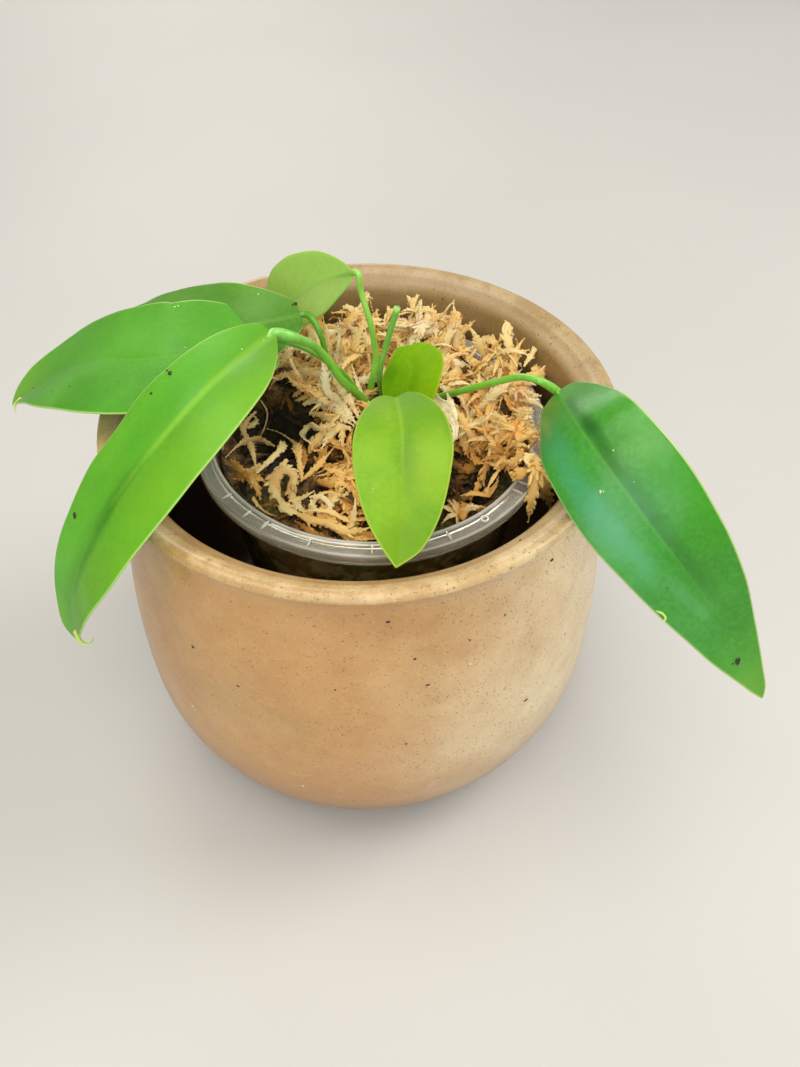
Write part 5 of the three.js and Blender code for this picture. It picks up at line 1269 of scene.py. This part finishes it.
def moss_material():
    t = Tree("sphagnum_dry")
    tint, tip = t.attr("tint"), t.attr("tip")
    vary = t.noise(200, 4, 0.65)
    k = t.math("ADD", tint, t.math("MULTIPLY", t.math("SUBTRACT", vary, 0.5), 0.26))
    k = t.math("ADD", k, t.math("MULTIPLY", t.math("SUBTRACT", tip, 0.4), 0.12), clamp=True)
    body = t.ramp(k, [(0.0, srgb(30, 22, 9)), (0.14, srgb(98, 68, 24)), (0.3, srgb(210, 146, 60)), (0.46, srgb(254, 206, 112)), (0.64, srgb(255, 224, 144)), (0.82, srgb(255, 236, 174)), (1.0, srgb(255, 245, 210))])
    stain = t.smooth(t.noise(80, 3, 0.6, vec=t.vmath("ADD", t.obj, (0.3, 0.2, 0.6))), 0.52, 0.68)
    body = t.mix(t.math("MULTIPLY", stain, 0.5), body, srgb(226, 158, 66))
    dot = t.smooth(t.noise(900, 2, 0.6), 0.66, 0.76)
    body = t.mix(t.math("MULTIPLY", dot, 0.3), body, srgb(150, 96, 46))
    h = t.math("ADD", t.noise(1800, 3, 0.6), t.math("MULTIPLY", t.noise(500, 3, 0.6), 0.8))
    p = t.principled(Base_Color=body, Roughness=t.math("ADD", t.math("MULTIPLY", vary, 0.25), 0.55), Normal=t.bump(h, 0.4, 0.0004))
    tr = t.nodes.new("ShaderNodeBsdfTranslucent")
    t.put(tr.inputs[0], body)
    ms = t.nodes.new("ShaderNodeMixShader")
    ms.inputs[0].default_value = 0.36
    t.links.new(p.outputs[0], ms.inputs[1])
    t.links.new(tr.outputs[0], ms.inputs[2])
    t.links.new(ms.outputs[0], t.out.inputs["Surface"])
    return t.mat


MOSS = moss_material()
STRANDS = []           # (path, width, tint, options)


def wander(x, y, heading, length, lift, pitch0, pitch1, bend, rng, sink=0.0):
    """A strand's line on the moss: starts at x, y and follows the heap, with its own rise and bend."""
    n = 12
    f = np.linspace(0, 1, n)
    h = heading + bend * f + 0.3 * np.sin(f * 5 + rng.random() * 6)
    st = length / (n - 1)
    c = np.cos(pitch0 + (pitch1 - pitch0) * f[:-1])
    xs = x + np.r_[0, np.cumsum(np.cos(h[:-1]) * c)] * st
    ys = y + np.r_[0, np.cumsum(np.sin(h[:-1]) * c)] * st
    z = heap_height(xs, ys)
    z = z[0] * 0.35 * (1 - f) + z * (0.65 + 0.35 * f)
    rise = np.cumsum(np.r_[0, np.sin(pitch0 + (pitch1 - pitch0) * f[:-1])]) * st
    return np.stack([xs, ys, z + lift + rise - sink], -1)


def scatter(count, seed, tint_mean, tint_sd, length, width, lift, pitch, rmax=45.5, sink=0.0, region=None, outward=0.0, bend=0.9):
    rng = np.random.default_rng(seed)
    made = guard = 0
    while made < count and guard < count * 40:
        guard += 1
        r, a = rmax * math.sqrt(rng.random()), rng.random() * 2 * math.pi
        x, y = CX + r * math.cos(a), r * math.sin(a)
        if region is not None and not region(x, y):
            continue
        if math.hypot(x - CROWN[0], y - CROWN[1]) < 4.5:
            continue
        heading = rng.random() * 6.283 if rng.random() > outward else a + rng.normal(0, 0.6)
        path = wander(x, y, heading, rng.uniform(*length), rng.uniform(*lift), rng.normal(pitch[0], 0.18), rng.normal(pitch[1], 0.35), rng.normal(0, bend), rng, sink)
        rr = np.hypot(path[:, 0] - CX, path[:, 1])
        if ((rr > 45.8) & (path[:, 2] < 121.4)).any() or (np.hypot(path[:, 0], path[:, 1]) > 60).any() or (rr > 55).any():
            continue
        if (np.hypot(path[:, 0] - CROWN[0], path[:, 1] - CROWN[1]) < 3.0).any():
            continue
        STRANDS.append((path, rng.uniform(*width), float(np.clip(rng.normal(tint_mean, tint_sd), 0.02, 0.98)), dict(roll=rng.normal(0, 0.4))))
        made += 1


hollow = lambda x, y: gauss(x, y, -27, 6, 9.5) > 0.2
front_left = lambda x, y: x < 2 and y < 6 and not hollow(x, y)
pit_right = lambda x, y: gauss(x, y, 27, -20, 7.5) > 0.35
rest = lambda x, y: not hollow(x, y) and not front_left(x, y) and not pit_right(x, y)
heap = lambda x, y: (y > 8 or x > 30) and not hollow(x, y) and not pit_right(x, y)
# The sunken bottom layer is dark brown: partly the moss's own colour, partly painted shade between the strands above.
scatter(110, 21, 0.18, 0.08, (9, 16), (2.2, 3.4), (-0.6, 0.5), (0.0, -0.1), sink=1.0, region=lambda x, y: not hollow(x, y))
scatter(88, 22, 0.42, 0.10, (10, 19), (3.0, 4.4), (0.2, 1.5), (0.15, -0.15), region=rest)
scatter(92, 25, 0.66, 0.14, (10, 19), (2.3, 3.9), (1.0, 2.4), (0.40, -0.05), region=heap, outward=0.35)
scatter(46, 26, 0.80, 0.12, (11, 19), (2.2, 3.8), (2.0, 3.4), (0.55, 0.1), region=heap, outward=0.5)
scatter(16, 27, 0.30, 0.12, (9, 15), (2.4, 3.8), (-0.2, 1.0), (0.10, -0.1), region=front_left)
scatter(6, 28, 0.62, 0.10, (9, 14), (2.8, 3.8), (0.8, 1.8), (0.25, 0.0), region=lambda x, y: x < -2 and y < -14 and not hollow(x, y))
# The strands in the pit at the right are browner: partly their own colour, partly painted shade of the pit.
scatter(22, 29, 0.22, 0.08, (9, 14), (2.6, 3.8), (0.2, 1.0), (0.0, 0.0), region=pit_right)
scatter(34, 33, 0.44, 0.10, (9, 15), (2.2, 3.6), (0.0, 1.2), (0.1, -0.1), region=front_left)
scatter(44, 31, 0.60, 0.12, (8, 16), (1.4, 2.4), (0.4, 2.2), (0.2, -0.1), region=front_left, bend=1.8)
scatter(40, 32, 0.62, 0.12, (8, 15), (1.3, 2.2), (1.0, 2.8), (0.4, 0.0), region=heap, bend=1.8)
# The strands in the hollow at the left are near black: painted shade of the recess.
scatter(26, 30, 0.06, 0.03, (9, 15), (2.2, 3.6), (-0.6, 0.4), (0.0, -0.1), region=hollow)


def crowns(count, seed, tint_mean, tint_sd, reach, lift, region):
    """Small heads of pointed arms that spread from one spot."""
    rng = np.random.default_rng(seed)
    made = 0
    for _ in range(count * 30):
        if made >= count:
            break
        r, a = 44 * math.sqrt(rng.random()), rng.random() * 2 * math.pi
        x, y = CX + r * math.cos(a), r * math.sin(a)
        if not region(x, y) or math.hypot(x - CROWN[0], y - CROWN[1]) < 8:
            continue
        z, turn, arms = float(heap_height(x, y)) + rng.uniform(*lift), rng.random() * 6.283, rng.integers(4, 8)
        tint = rng.normal(tint_mean, tint_sd)
        for k in range(arms):
            w, rise, L = turn + 6.283 * k / arms + rng.normal(0, 0.3), rng.uniform(-0.1, 0.9), rng.uniform(*reach)
            f = np.linspace(0, 1, 7)
            run = L * (f - 0.12 * f * f)
            px, py = x + math.cos(w) * run, y + math.sin(w) * run
            pz = np.maximum(z + L * (rise * f - (0.3 + 0.45 * rise) * f * f), heap_height(px, py) - 0.2)
            rr = np.hypot(px - CX, py)
            if ((rr > 45.8) & (pz < 121.4)).any() or (rr > 55).any() or (np.hypot(px - CROWN[0], py - CROWN[1]) < 4).any():
                continue
            STRANDS.append((np.stack([px, py, pz], -1), rng.uniform(1.7, 3.0), float(np.clip(tint + rng.normal(0, 0.05), 0.02, 0.98)),
                            dict(roll=rng.normal(0, 0.5), bare=0.4, teeth=0.9)))
        made += 1


crowns(56, 41, 0.78, 0.12, (5, 10), (1.4, 3.0), heap)
crowns(12, 42, 0.50, 0.10, (5, 9), (0.8, 2.0), rest)


def on_heap(px, py, lift):
    r = ray(px, py)
    P = EYE + r * np.linspace((170 - EYE[2]) / r[2], (98 - EYE[2]) / r[2], 500)[:, None]
    below = P[:, 2] <= heap_height(P[:, 0], P[:, 1]) + lift
    p = P[np.argmax(below)] if below.any() else P[-1]
    return p, math.hypot(p[0] - CX, p[1]) < 46.5


def trace(points, lift):
    """A line drawn in the picture, laid on the moss; where it leaves the moss it stands upright."""
    hits = [on_heap(x, y, lift) for x, y in points]
    good = [i for i, h in enumerate(hits) if h[1]]
    out = []
    for i, (x, y) in enumerate(points):
        if hits[i][1] or not good:
            out.append(hits[i][0])
            continue
        base = hits[min(good, key=lambda g: abs(g - i))][0]
        r = ray(x, y)
        out.append(EYE + r * ((base[1] - EYE[1]) / r[1]))
    return catmull(out, 5)


def on_barrel(px, py, radius):
    r = ray(px, py)
    ox, oy = EYE[0] - CX, EYE[1]
    a_, b_, c_ = r[0] ** 2 + r[1] ** 2, 2 * (ox * r[0] + oy * r[1]), ox * ox + oy * oy - radius * radius
    return EYE + r * ((-b_ - math.sqrt(max(b_ * b_ - 4 * a_ * c_, 0))) / (2 * a_))


FACE = tuple(-CAM_F)
# Strands drawn as (picture points in fifths of a pixel, width in mm, tint, lift in mm, options).
LEFT = [
    ([(345, 275), (400, 300), (470, 335), (545, 375)], 5.0, 0.66, 2.6, dict(blunt=0.4)),
    ([(300, 440), (330, 392), (400, 372), (480, 385), (540, 400)][::-1], 3.4, 0.60, 2.8, {}),
    ([(530, 400), (470, 440), (415, 482)], 2.2, 0.66, 3.2, dict(blunt=0.5)),
    ([(545, 425), (485, 480), (430, 502)], 2.0, 0.55, 3.2, dict(blunt=0.5)),
    ([(470, 520), (530, 500), (590, 545), (650, 585), (715, 625)], 4.0, 0.80, 4.0, dict(blunt=0.2)),
    ([(500, 565), (560, 575), (620, 610), (700, 650)], 3.6, 0.70, 3.2, dict(blunt=0.2)),
    ([(510, 465), (590, 520), (650, 560), (725, 610)], 3.8, 0.84, 4.8, dict(blunt=0.2)),
    ([(540, 425), (620, 490), (680, 550), (738, 630)], 3.8, 0.88, 5.2, dict(blunt=0.2)),
    ([(640, 430), (700, 510), (750, 600)], 3.6, 0.84, 5.4, dict(blunt=0.2)),
    ([(560, 380), (640, 420), (705, 490), (748, 560)], 3.4, 0.72, 4.6, {}),
    ([(620, 622), (560, 642), (492, 632), (466, 665), (505, 722)], 2.4, 0.86, 5.0, dict(blunt=0.2)),
    ([(700, 640), (640, 640), (590, 690), (560, 740)], 3.6, 0.74, 2.8, {}),
    ([(228, 560), (180, 610), (165, 655), (195, 705), (215, 770), (232, 850)], 2.8, 0.74, 3.0, {}),
    ([(190, 640), (235, 600), (215, 575)], 2.2, 0.84, 3.4, {}),
    ([(320, 730), (255, 700), (190, 702), (130, 735), (80, 785)], 2.9, 0.78, 3.6, {}),
    ([(235, 862), (300, 800), (348, 752), (372, 708)], 2.6, 0.80, 3.6, dict(blunt=0.3)),
    ([(252, 500), (287, 560), (272, 640), (238, 700)], 0.7, 0.84, 4.0, dict(bare=1.0)),
    ([(460, 900), (452, 840), (438, 765), (405, 700), (340, 660), (290, 645)], 2.7, 0.62, 3.0, {}),
    ([(452, 880), (470, 800), (455, 700)], 2.4, 0.34, 2.4, dict(blunt=0.6, teeth=0.6)),
    ([(100, 805), (165, 855), (250, 890), (300, 930)], 2.8, 0.42, 2.2, {}),
    ([(120, 860), (180, 885), (240, 900)], 3.4, 0.34, 1.6, {}),
    ([(382, 800), (350, 852), (318, 905), (328, 980), (380, 1040), (450, 1072)], 4.0, 0.74, 2.8, dict(blunt=0.5)),
    ([(385, 830), (420, 880), (402, 950), (430, 1010), (470, 1060)], 3.4, 0.78, 3.2, dict(blunt=0.4)),
    ([(330, 860), (380, 850), (425, 870)], 3.0, 0.80, 3.2, dict(blunt=0.6)),
    ([(395, 1005), (460, 990), (520, 955)], 1.9, 0.72, 3.4, {}),
    ([(500, 985), (560, 985), (602, 1030), (600, 1085)], 2.2, 0.92, 3.4, dict(blunt=0.3)),
    ([(505, 1000), (520, 1040), (560, 1060)], 1.8, 0.90, 3.6, dict(blunt=0.3)),
    ([(440, 1070), (510, 1100), (590, 1115), (655, 1150), (735, 1155), (800, 1138)], 3.4, 0.62, 2.8, dict(blunt=0.2)),
    ([(540, 1075), (590, 1095), (640, 1130)], 3.6, 0.52, 3.2, dict(blunt=0.4)),
    ([(450, 905), (520, 850), (580, 785), (622, 735)], 2.2, 0.52, 2.8, {}),
    ([(660, 740), (692, 800), (680, 870)], 1.5, 0.64, 2.8, {}),
    ([(555, 830), (640, 848), (722, 838)], 3.6, 0.36, 1.6, {}),
    ([(540, 905), (620, 922), (705, 908)], 3.2, 0.42, 1.4, {}),
    ([(600, 990), (660, 1010), (740, 1000)], 3.0, 0.26, 1.0, {}),
    ([(560, 170), (600, 135), (650, 175), (700, 155), (742, 100)], 4.4, 0.72, 2.0, dict(blunt=0.4)),
    ([(725, 170), (702, 120), (680, 58)], 3.0, 0.66, 2.4, {}),
    ([(672, 170), (660, 135), (644, 90)], 1.8, 0.78, 2.6, {}),
    ([(805, 170), (815, 105), (832, 48)], 2.6, 0.62, 2.2, {}),
    ([(600, 225), (660, 262), (730, 255)], 4.2, 0.62, 2.6, dict(blunt=0.5)),
    ([(745, 345), (740, 290), (775, 265), (812, 300), (800, 350), (755, 372)], 2.2, 0.62, 3.0, dict(blunt=0.4)),
    ([(615, 300), (660, 332), (710, 328)], 3.6, 0.5, 2.4, dict(blunt=0.5)),
    ([(450, 105), (500, 140), (525, 215)], 5.0, 0.7, 2.6, dict(blunt=0.5)),
    ([(820, 215), (870, 180), (905, 175)], 3.4, 0.62, 2.2, {}),
    ([(750, 110), (790, 150), (850, 200)], 3.4, 0.76, 2.4, dict(blunt=0.4)),
]
RIGHT = [
    ([(70, 210), (150, 155), (180, 95), (186, 42)], 2.6, 0.74, 2.4, {}),
    ([(55, 240), (100, 185), (172, 150)], 4.0, 0.56, 2.0, dict(blunt=0.4)),
    ([(215, 185), (290, 135), (350, 92), (408, 92)], 3.2, 0.70, 2.8, {}),
    ([(225, 215), (300, 195), (360, 152), (425, 128)], 3.8, 0.62, 2.8, {}),
    ([(330, 190), (400, 165), (455, 120), (470, 105)], 3.0, 0.66, 2.6, {}),
    ([(535, 300), (512, 245), (482, 190), (448, 132)], 3.2, 0.82, 3.6, {}),
    ([(450, 215), (530, 195), (592, 172)], 2.2, 0.74, 3.0, {}),
    ([(688, 335), (660, 290), (620, 258), (570, 225), (530, 183)], 0.55, 0.97, 6.0, dict(bare=1.0)),
    ([(580, 285), (640, 268), (690, 240), (682, 198)], 3.0, 0.64, 3.0, {}),
    ([(640, 285), (700, 262), (742, 250)], 2.4, 0.66, 3.0, {}),
    ([(720, 330), (758, 272), (782, 222)], 1.8, 0.78, 2.6, {}),
    ([(735, 375), (790, 375), (840, 350), (887, 328)], 3.2, 0.64, 2.6, {}),
    ([(760, 350), (820, 332), (868, 298)], 2.4, 0.68, 2.2, {}),
    ([(390, 270), (440, 320), (500, 370), (535, 402)], 0.9, 0.06, 4.6, dict(bare=1.0)),
    ([(305, 385), (380, 368), (432, 352), (492, 388)], 4.4, 0.74, 3.4, dict(blunt=0.5, teeth=0.7)),
    ([(335, 455), (380, 412), (445, 400)], 3.4, 0.60, 2.8, {}),
    ([(298, 420), (322, 442), (332, 470)], 2.0, 0.92, 3.6, dict(blunt=0.5)),
    ([(520, 400), (530, 365), (575, 342), (605, 375), (580, 405)], 2.8, 0.80, 3.4, dict(blunt=0.5)),
    ([(600, 430), (580, 462), (556, 490)], 3.2, 0.50, 3.0, dict(blunt=0.5)),
    ([(570, 455), (600, 500), (622, 545)], 2.4, 0.12, 2.6, dict(bare=1.0)),
    ([(640, 430), (672, 470), (700, 535), (722, 595)], 5.4, 0.92, 3.4, dict(blunt=0.5)),
    ([(700, 500), (760, 505), (822, 545)], 2.4, 0.92, 3.8, {}),
    ([(720, 540), (700, 600), (640, 642)], 2.4, 0.86, 3.8, {}),
    ([(700, 440), (740, 470), (800, 480)], 2.6, 0.84, 3.6, {}),
    ([(715, 600), (750, 650), (772, 705)], 3.6, 0.72, 3.0, dict(blunt=0.4)),
    ([(655, 665), (685, 645), (700, 700), (688, 765)], 3.6, 0.46, 2.6, dict(blunt=0.6)),
    ([(712, 748), (690, 790), (648, 822)], 2.6, 0.52, 2.8, dict(blunt=0.3)),
    ([(770, 775), (725, 795), (750, 825), (805, 822)], 2.6, 0.80, 3.0, dict(blunt=0.4)),
    ([(730, 850), (700, 868), (660, 882)], 3.4, 0.46, 3.2, dict(blunt=0.8, teeth=0.6)),
    ([(400, 560), (450, 602), (502, 652), (565, 692)], 4.2, 0.46, 3.0, {}),
    ([(455, 622), (510, 622), (552, 603)], 2.6, 0.48, 3.2, {}),
    ([(400, 620), (450, 682), (500, 722), (522, 792)], 4.0, 0.44, 2.8, {}),
    ([(385, 640), (420, 702), (440, 785)], 3.4, 0.5, 3.0, {}),
    ([(395, 475), (440, 480), (428, 545)], 3.4, 0.6, 2.8, dict(blunt=0.4)),
    ([(400, 855), (500, 832), (605, 835)], 4.4, 0.30, 1.6, dict(blunt=0.4)),
    ([(515, 792), (600, 802), (645, 850)], 3.8, 0.32, 1.8, dict(blunt=0.4)),
    ([(340, 1000), (420, 992), (525, 958)], 2.4, 0.30, 1.4, {}),
    ([(320, 300), (380, 330), (430, 300)], 3.0, 0.52, 2.6, {}),
    ([(560, 330), (620, 320), (680, 345)], 2.6, 0.70, 3.2, {}),
    ([(600, 400), (660, 415), (730, 400)], 2.8, 0.76, 3.2, {}),
]
PROMINENT = []
for origin, rows_ in ((210, LEFT), (380, RIGHT)):
    for pts, width, tint, lift, opt in rows_:
        PROMINENT.append((trace([(origin + x / 5, 300 + y / 5) for x, y in pts], lift), width * (0.84 if origin == 210 else 1.0), tint, dict(up=FACE, **opt)))
# Three pieces hang over the clear rim and down between the pots.
for pts, width, tint, opt in (
        ([(765, 800, 50.5), (778, 850, 53.8), (772, 920, 55.0), (756, 1000, 55.8), (742, 1108, 56.4)], 3.4, 0.56, dict(teeth=1.5)),
        ([(790, 810, 50.5), (805, 870, 54.2), (822, 930, 55.4), (840, 985, 56.2), (852, 1045, 56.8)], 3.8, 0.60, dict(teeth=1.4)),
        ([(760, 760, 48.0), (785, 820, 52.6), (800, 890, 54.4)], 3.6, 0.66, dict(blunt=0.4))):
    path = catmull([on_barrel(380 + x / 5, 300 + y / 5, r) for x, y, r in pts], 5)
    PROMINENT.append((path, width, tint, dict(up=FACE, **opt)))


def nearest_tuft(p):
    best, name = 1e9, None
    for key, (c, a_, b_, turn, rise) in TUFTS.items():
        w = math.radians(turn)
        dx, dy = p[0] - c[0], p[1] - c[1]
        e = math.hypot((dx * math.cos(w) + dy * math.sin(w)) / a_, (-dx * math.sin(w) + dy * math.cos(w)) / b_)
        if e < best:
            best, name = e, key
    return name if best < 1.25 else None


def seen(P):
    d = P - EYE
    deep = d @ CAM_F
    return 400 + FOCAL * (d @ CAM_R) / deep, 533.5 - FOCAL * (d @ CAM_U) / deep


# Seen from the front, a dark recess lies open at the left, and the moss at the lower left and in a hollow at the right
# is browner: partly its own colour, partly painted shade.
kept = []
for path, width, tint, opt in STRANDS:
    px, py = seen(path)
    open_ = (((px - 284) / 27) ** 2 + ((py - 445) / 62) ** 2 < 1).mean()
    if open_ > 0.2 and tint > 0.16:
        continue
    brown_and_shade = (((px - 487) / 40) ** 2 + ((py - 468) / 38) ** 2 < 1).mean() * 0.26 + ((px < 330) & (py > 430)).mean() * 0.05
    kept.append((path, width, max(tint - brown_and_shade, 0.03), opt))
STRANDS[:] = kept

groups = {}
rng = np.random.default_rng(99)
for path, width, tint, opt in STRANDS + PROMINENT:
    key = nearest_tuft(path[len(path) // 2]) or "moss_loose"
    made = strand(path, width, tint, rng, **opt)
    bucket = groups.setdefault(key, [[]])
    if sum(len(g[1]) + 2 * len(g[2]) for g in bucket[-1]) > 120000:
        bucket.append([])
    bucket[-1].append(made)
total_tris = 0
for key in list(TUFTS) + ["moss_loose"]:
    for k, bucket in enumerate(groups.get(key, [])):
        V_, T_, Q_, A_ = join_arrays(bucket)
        total_tris += len(T_) + 2 * len(Q_)
        # Painted shade: deep down among the strands the moss is darkened to brown, and it stays paler where it stands
        # proud.
        proud = V_[:, 2] - heap_height(V_[:, 0], V_[:, 1])
        low = np.clip((1.7 - proud) / 3.0, 0, 1) * (np.hypot(V_[:, 0] - CX, V_[:, 1]) < 45)
        A_["tint"] = np.clip(A_["tint"] - 0.23 * low, 0.0, 1.0)
        label = key + "_strands" + ("" if k == 0 else "_%d" % (k + 1))
        add_piece(label, build_mesh(label, V_, T_, Q_, A_), MOSS, (key,) if key in TUFTS else ())
print("strands", len(STRANDS) + len(PROMINENT), "triangles", total_tris)


# ------------------------------------------------------------------ dry sheath
def sheath_material():
    t = Tree("sheath_papery")
    grain = t.noise(500, 4, 0.6, vec=t.stretch(t.obj, (1, 1, 0.25)))
    body = t.ramp(grain, [(0.3, srgb(220, 190, 132)), (0.5, srgb(250, 232, 184)), (0.7, srgb(255, 247, 218))])
    body = t.mix(t.math("MULTIPLY", t.smooth(t.noise(150, 3), 0.55, 0.72), 0.28), body, srgb(180, 136, 84))
    t.principled(Base_Color=body, Roughness=0.62, Normal=t.bump(grain, 0.6, 0.0006))
    return t.mat


def sheath_strip(name, points, half, seed, replaces=()):
    path = catmull(points, 8)
    f = np.linspace(0, 1, len(path))
    t_, b_, n_ = frames_along(path, FACE)
    wid = half * np.clip(np.minimum(f * 3 + 0.08, (1 - f) * 2.0 + 0.06), 0, 1) * (1 + 0.2 * np.sin(f * 17 + seed) + 0.12 * np.sin(f * 41 + seed))
    across = np.linspace(-1, 1, 9)
    rows_ = []
    for k in range(len(path)):
        cup = 0.5 * (across ** 2) * wid[k] * (0.6 + 0.4 * math.sin(f[k] * 9 + seed)) + 0.16 * np.sin(across * 7 + f[k] * 23 + seed)
        rag = 1 + 0.16 * np.sin(f[k] * 67 + seed) * (across > 0.7)
        rows_.append(path[k] + b_[k] * (across * wid[k] * rag)[:, None] + n_[k] * cup[:, None])
    Gs = np.array(rows_)
    nrm = unit(np.cross(np.gradient(Gs, axis=0), np.gradient(Gs, axis=1)))
    up, lo = Gs + nrm * 0.11, Gs - nrm * 0.11
    nc, nr = Gs.shape[:2]
    top = grid_quads(nc, nr)
    m = nc * nr
    quads = [top, top[:, ::-1] + m]
    i = np.arange(nc - 1)
    quads.append(np.stack([i * nr, i * nr + m, (i + 1) * nr + m, (i + 1) * nr], -1))
    e = i * nr + nr - 1
    quads.append(np.stack([e + nr, e + nr + m, e + m, e], -1))
    j = np.arange(nr - 1)
    quads.append(np.stack([j + 1, j + 1 + m, j + m, j], -1))
    e = (nc - 1) * nr + j
    quads.append(np.stack([e, e + m, e + 1 + m, e + 1], -1))
    add_piece(name, build_mesh(name, np.vstack([up.reshape(-1, 3), lo.reshape(-1, 3)]), quads=np.vstack(quads)), PAPER, replaces)


PAPER = sheath_material()
sheath_strip("dry_leaf_sheath_paper", [at_height(424, 389, 131.5), at_height(433, 396, 131), at_height(443, 405, 129.5), at_height(451, 416, 128), at_height(455, 428, 126), at_height(454, 438, 124), at_height(450, 445, 122)], 1.6, 0.0, ("dry_leaf_sheath",))
sheath_strip("dry_leaf_sheath_prong", [at_height(447, 393, 131), at_height(450, 402, 130), at_height(454, 412, 128.5), at_height(457, 424, 127)], 0.9, 2.0)


# ------------------------------------------------------------------ rootstock
def root_material():
    t = Tree("root_velvet")
    body = t.ramp(t.noise(240, 4, 0.6), [(0.3, srgb(96, 88, 44)), (0.55, srgb(142, 134, 78)), (0.75, srgb(176, 166, 110))])
    t.principled(Base_Color=body, Roughness=0.7, Normal=t.bump(t.noise(900, 4, 0.6), 0.5, 0.0005))
    return t.mat


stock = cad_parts["rootstock"]
stock.data.materials.clear()
stock.data.materials.append(root_material())

# ------------------------------------------------------------------ floor and light
def floor_material():
    t = Tree("floor_plain")
    body = t.mix(t.smooth(t.noise(3, 2), 0.3, 0.7), (0.55, 0.535, 0.51), (0.57, 0.555, 0.53))
    t.principled(Base_Color=body, Roughness=0.6)
    return t.mat


me = bpy.data.meshes.new("floor")
me.from_pydata([(-6, -6, 0), (6, -6, 0), (6, 6, 0), (-6, 6, 0)], [], [(0, 1, 2, 3)])
me.materials.append(floor_material())
floor = bpy.data.objects.new("floor", me)
bpy.context.scene.collection.objects.link(floor)


def area(name, where, target, size, power, colour):
    d = bpy.data.lights.new(name, "AREA")
    d.shape, d.size, d.energy, d.color = "DISK", size, power, colour
    o = bpy.data.objects.new(name, d)
    bpy.context.scene.collection.objects.link(o)
    o.location = where
    o.visible_camera = False
    o.rotation_mode = "QUATERNION"
    o.rotation_quaternion = (Vector(target) - Vector(where)).to_track_quat("-Z", "Y")
    return o


# A cool window stands where the right leaf mirrors it towards the camera.
S = BLADES["leaf_right"]
p_, n_ = S.at(np.array([0.36 * S.L]), np.array([6.0]))
d_ = unit(p_[0] - EYE)
m_ = d_ - 2 * (d_ @ n_[0]) * n_[0]
print("mirror direction", m_)
area("window_cool", tuple((p_[0] * MM) + m_ * 1.4), tuple(p_[0] * MM), 1.1, 10, (0.72, 0.90, 1.0))
area("window_right", (1.2, 0.35, 1.15), (0, 0, 0.1), 0.9, 13.4, (1.0, 0.98, 0.95))
area("sky_above", (-0.25, 0.0, 1.45), (0, 0, 0.1), 1.0, 9.6, (1.0, 0.97, 0.90))
area("behind", (-0.35, 1.35, 0.75), (0, 0, 0.12), 0.8, 6, (1.0, 0.98, 0.92))
area("front_fill", (-0.02, -0.42, 0.62), (0, 0, 0.12), 0.4, 1.5, (1.0, 0.95, 0.86))
world = bpy.data.worlds.new("soft_room")
bpy.context.scene.world = world
world.use_nodes = True
bg = world.node_tree.nodes["Background"]
bg.inputs[0].default_value = (1.0, 0.965, 0.91, 1.0)
bg.inputs[1].default_value = 0.33
bpy.context.scene.view_settings.view_transform = "Standard"
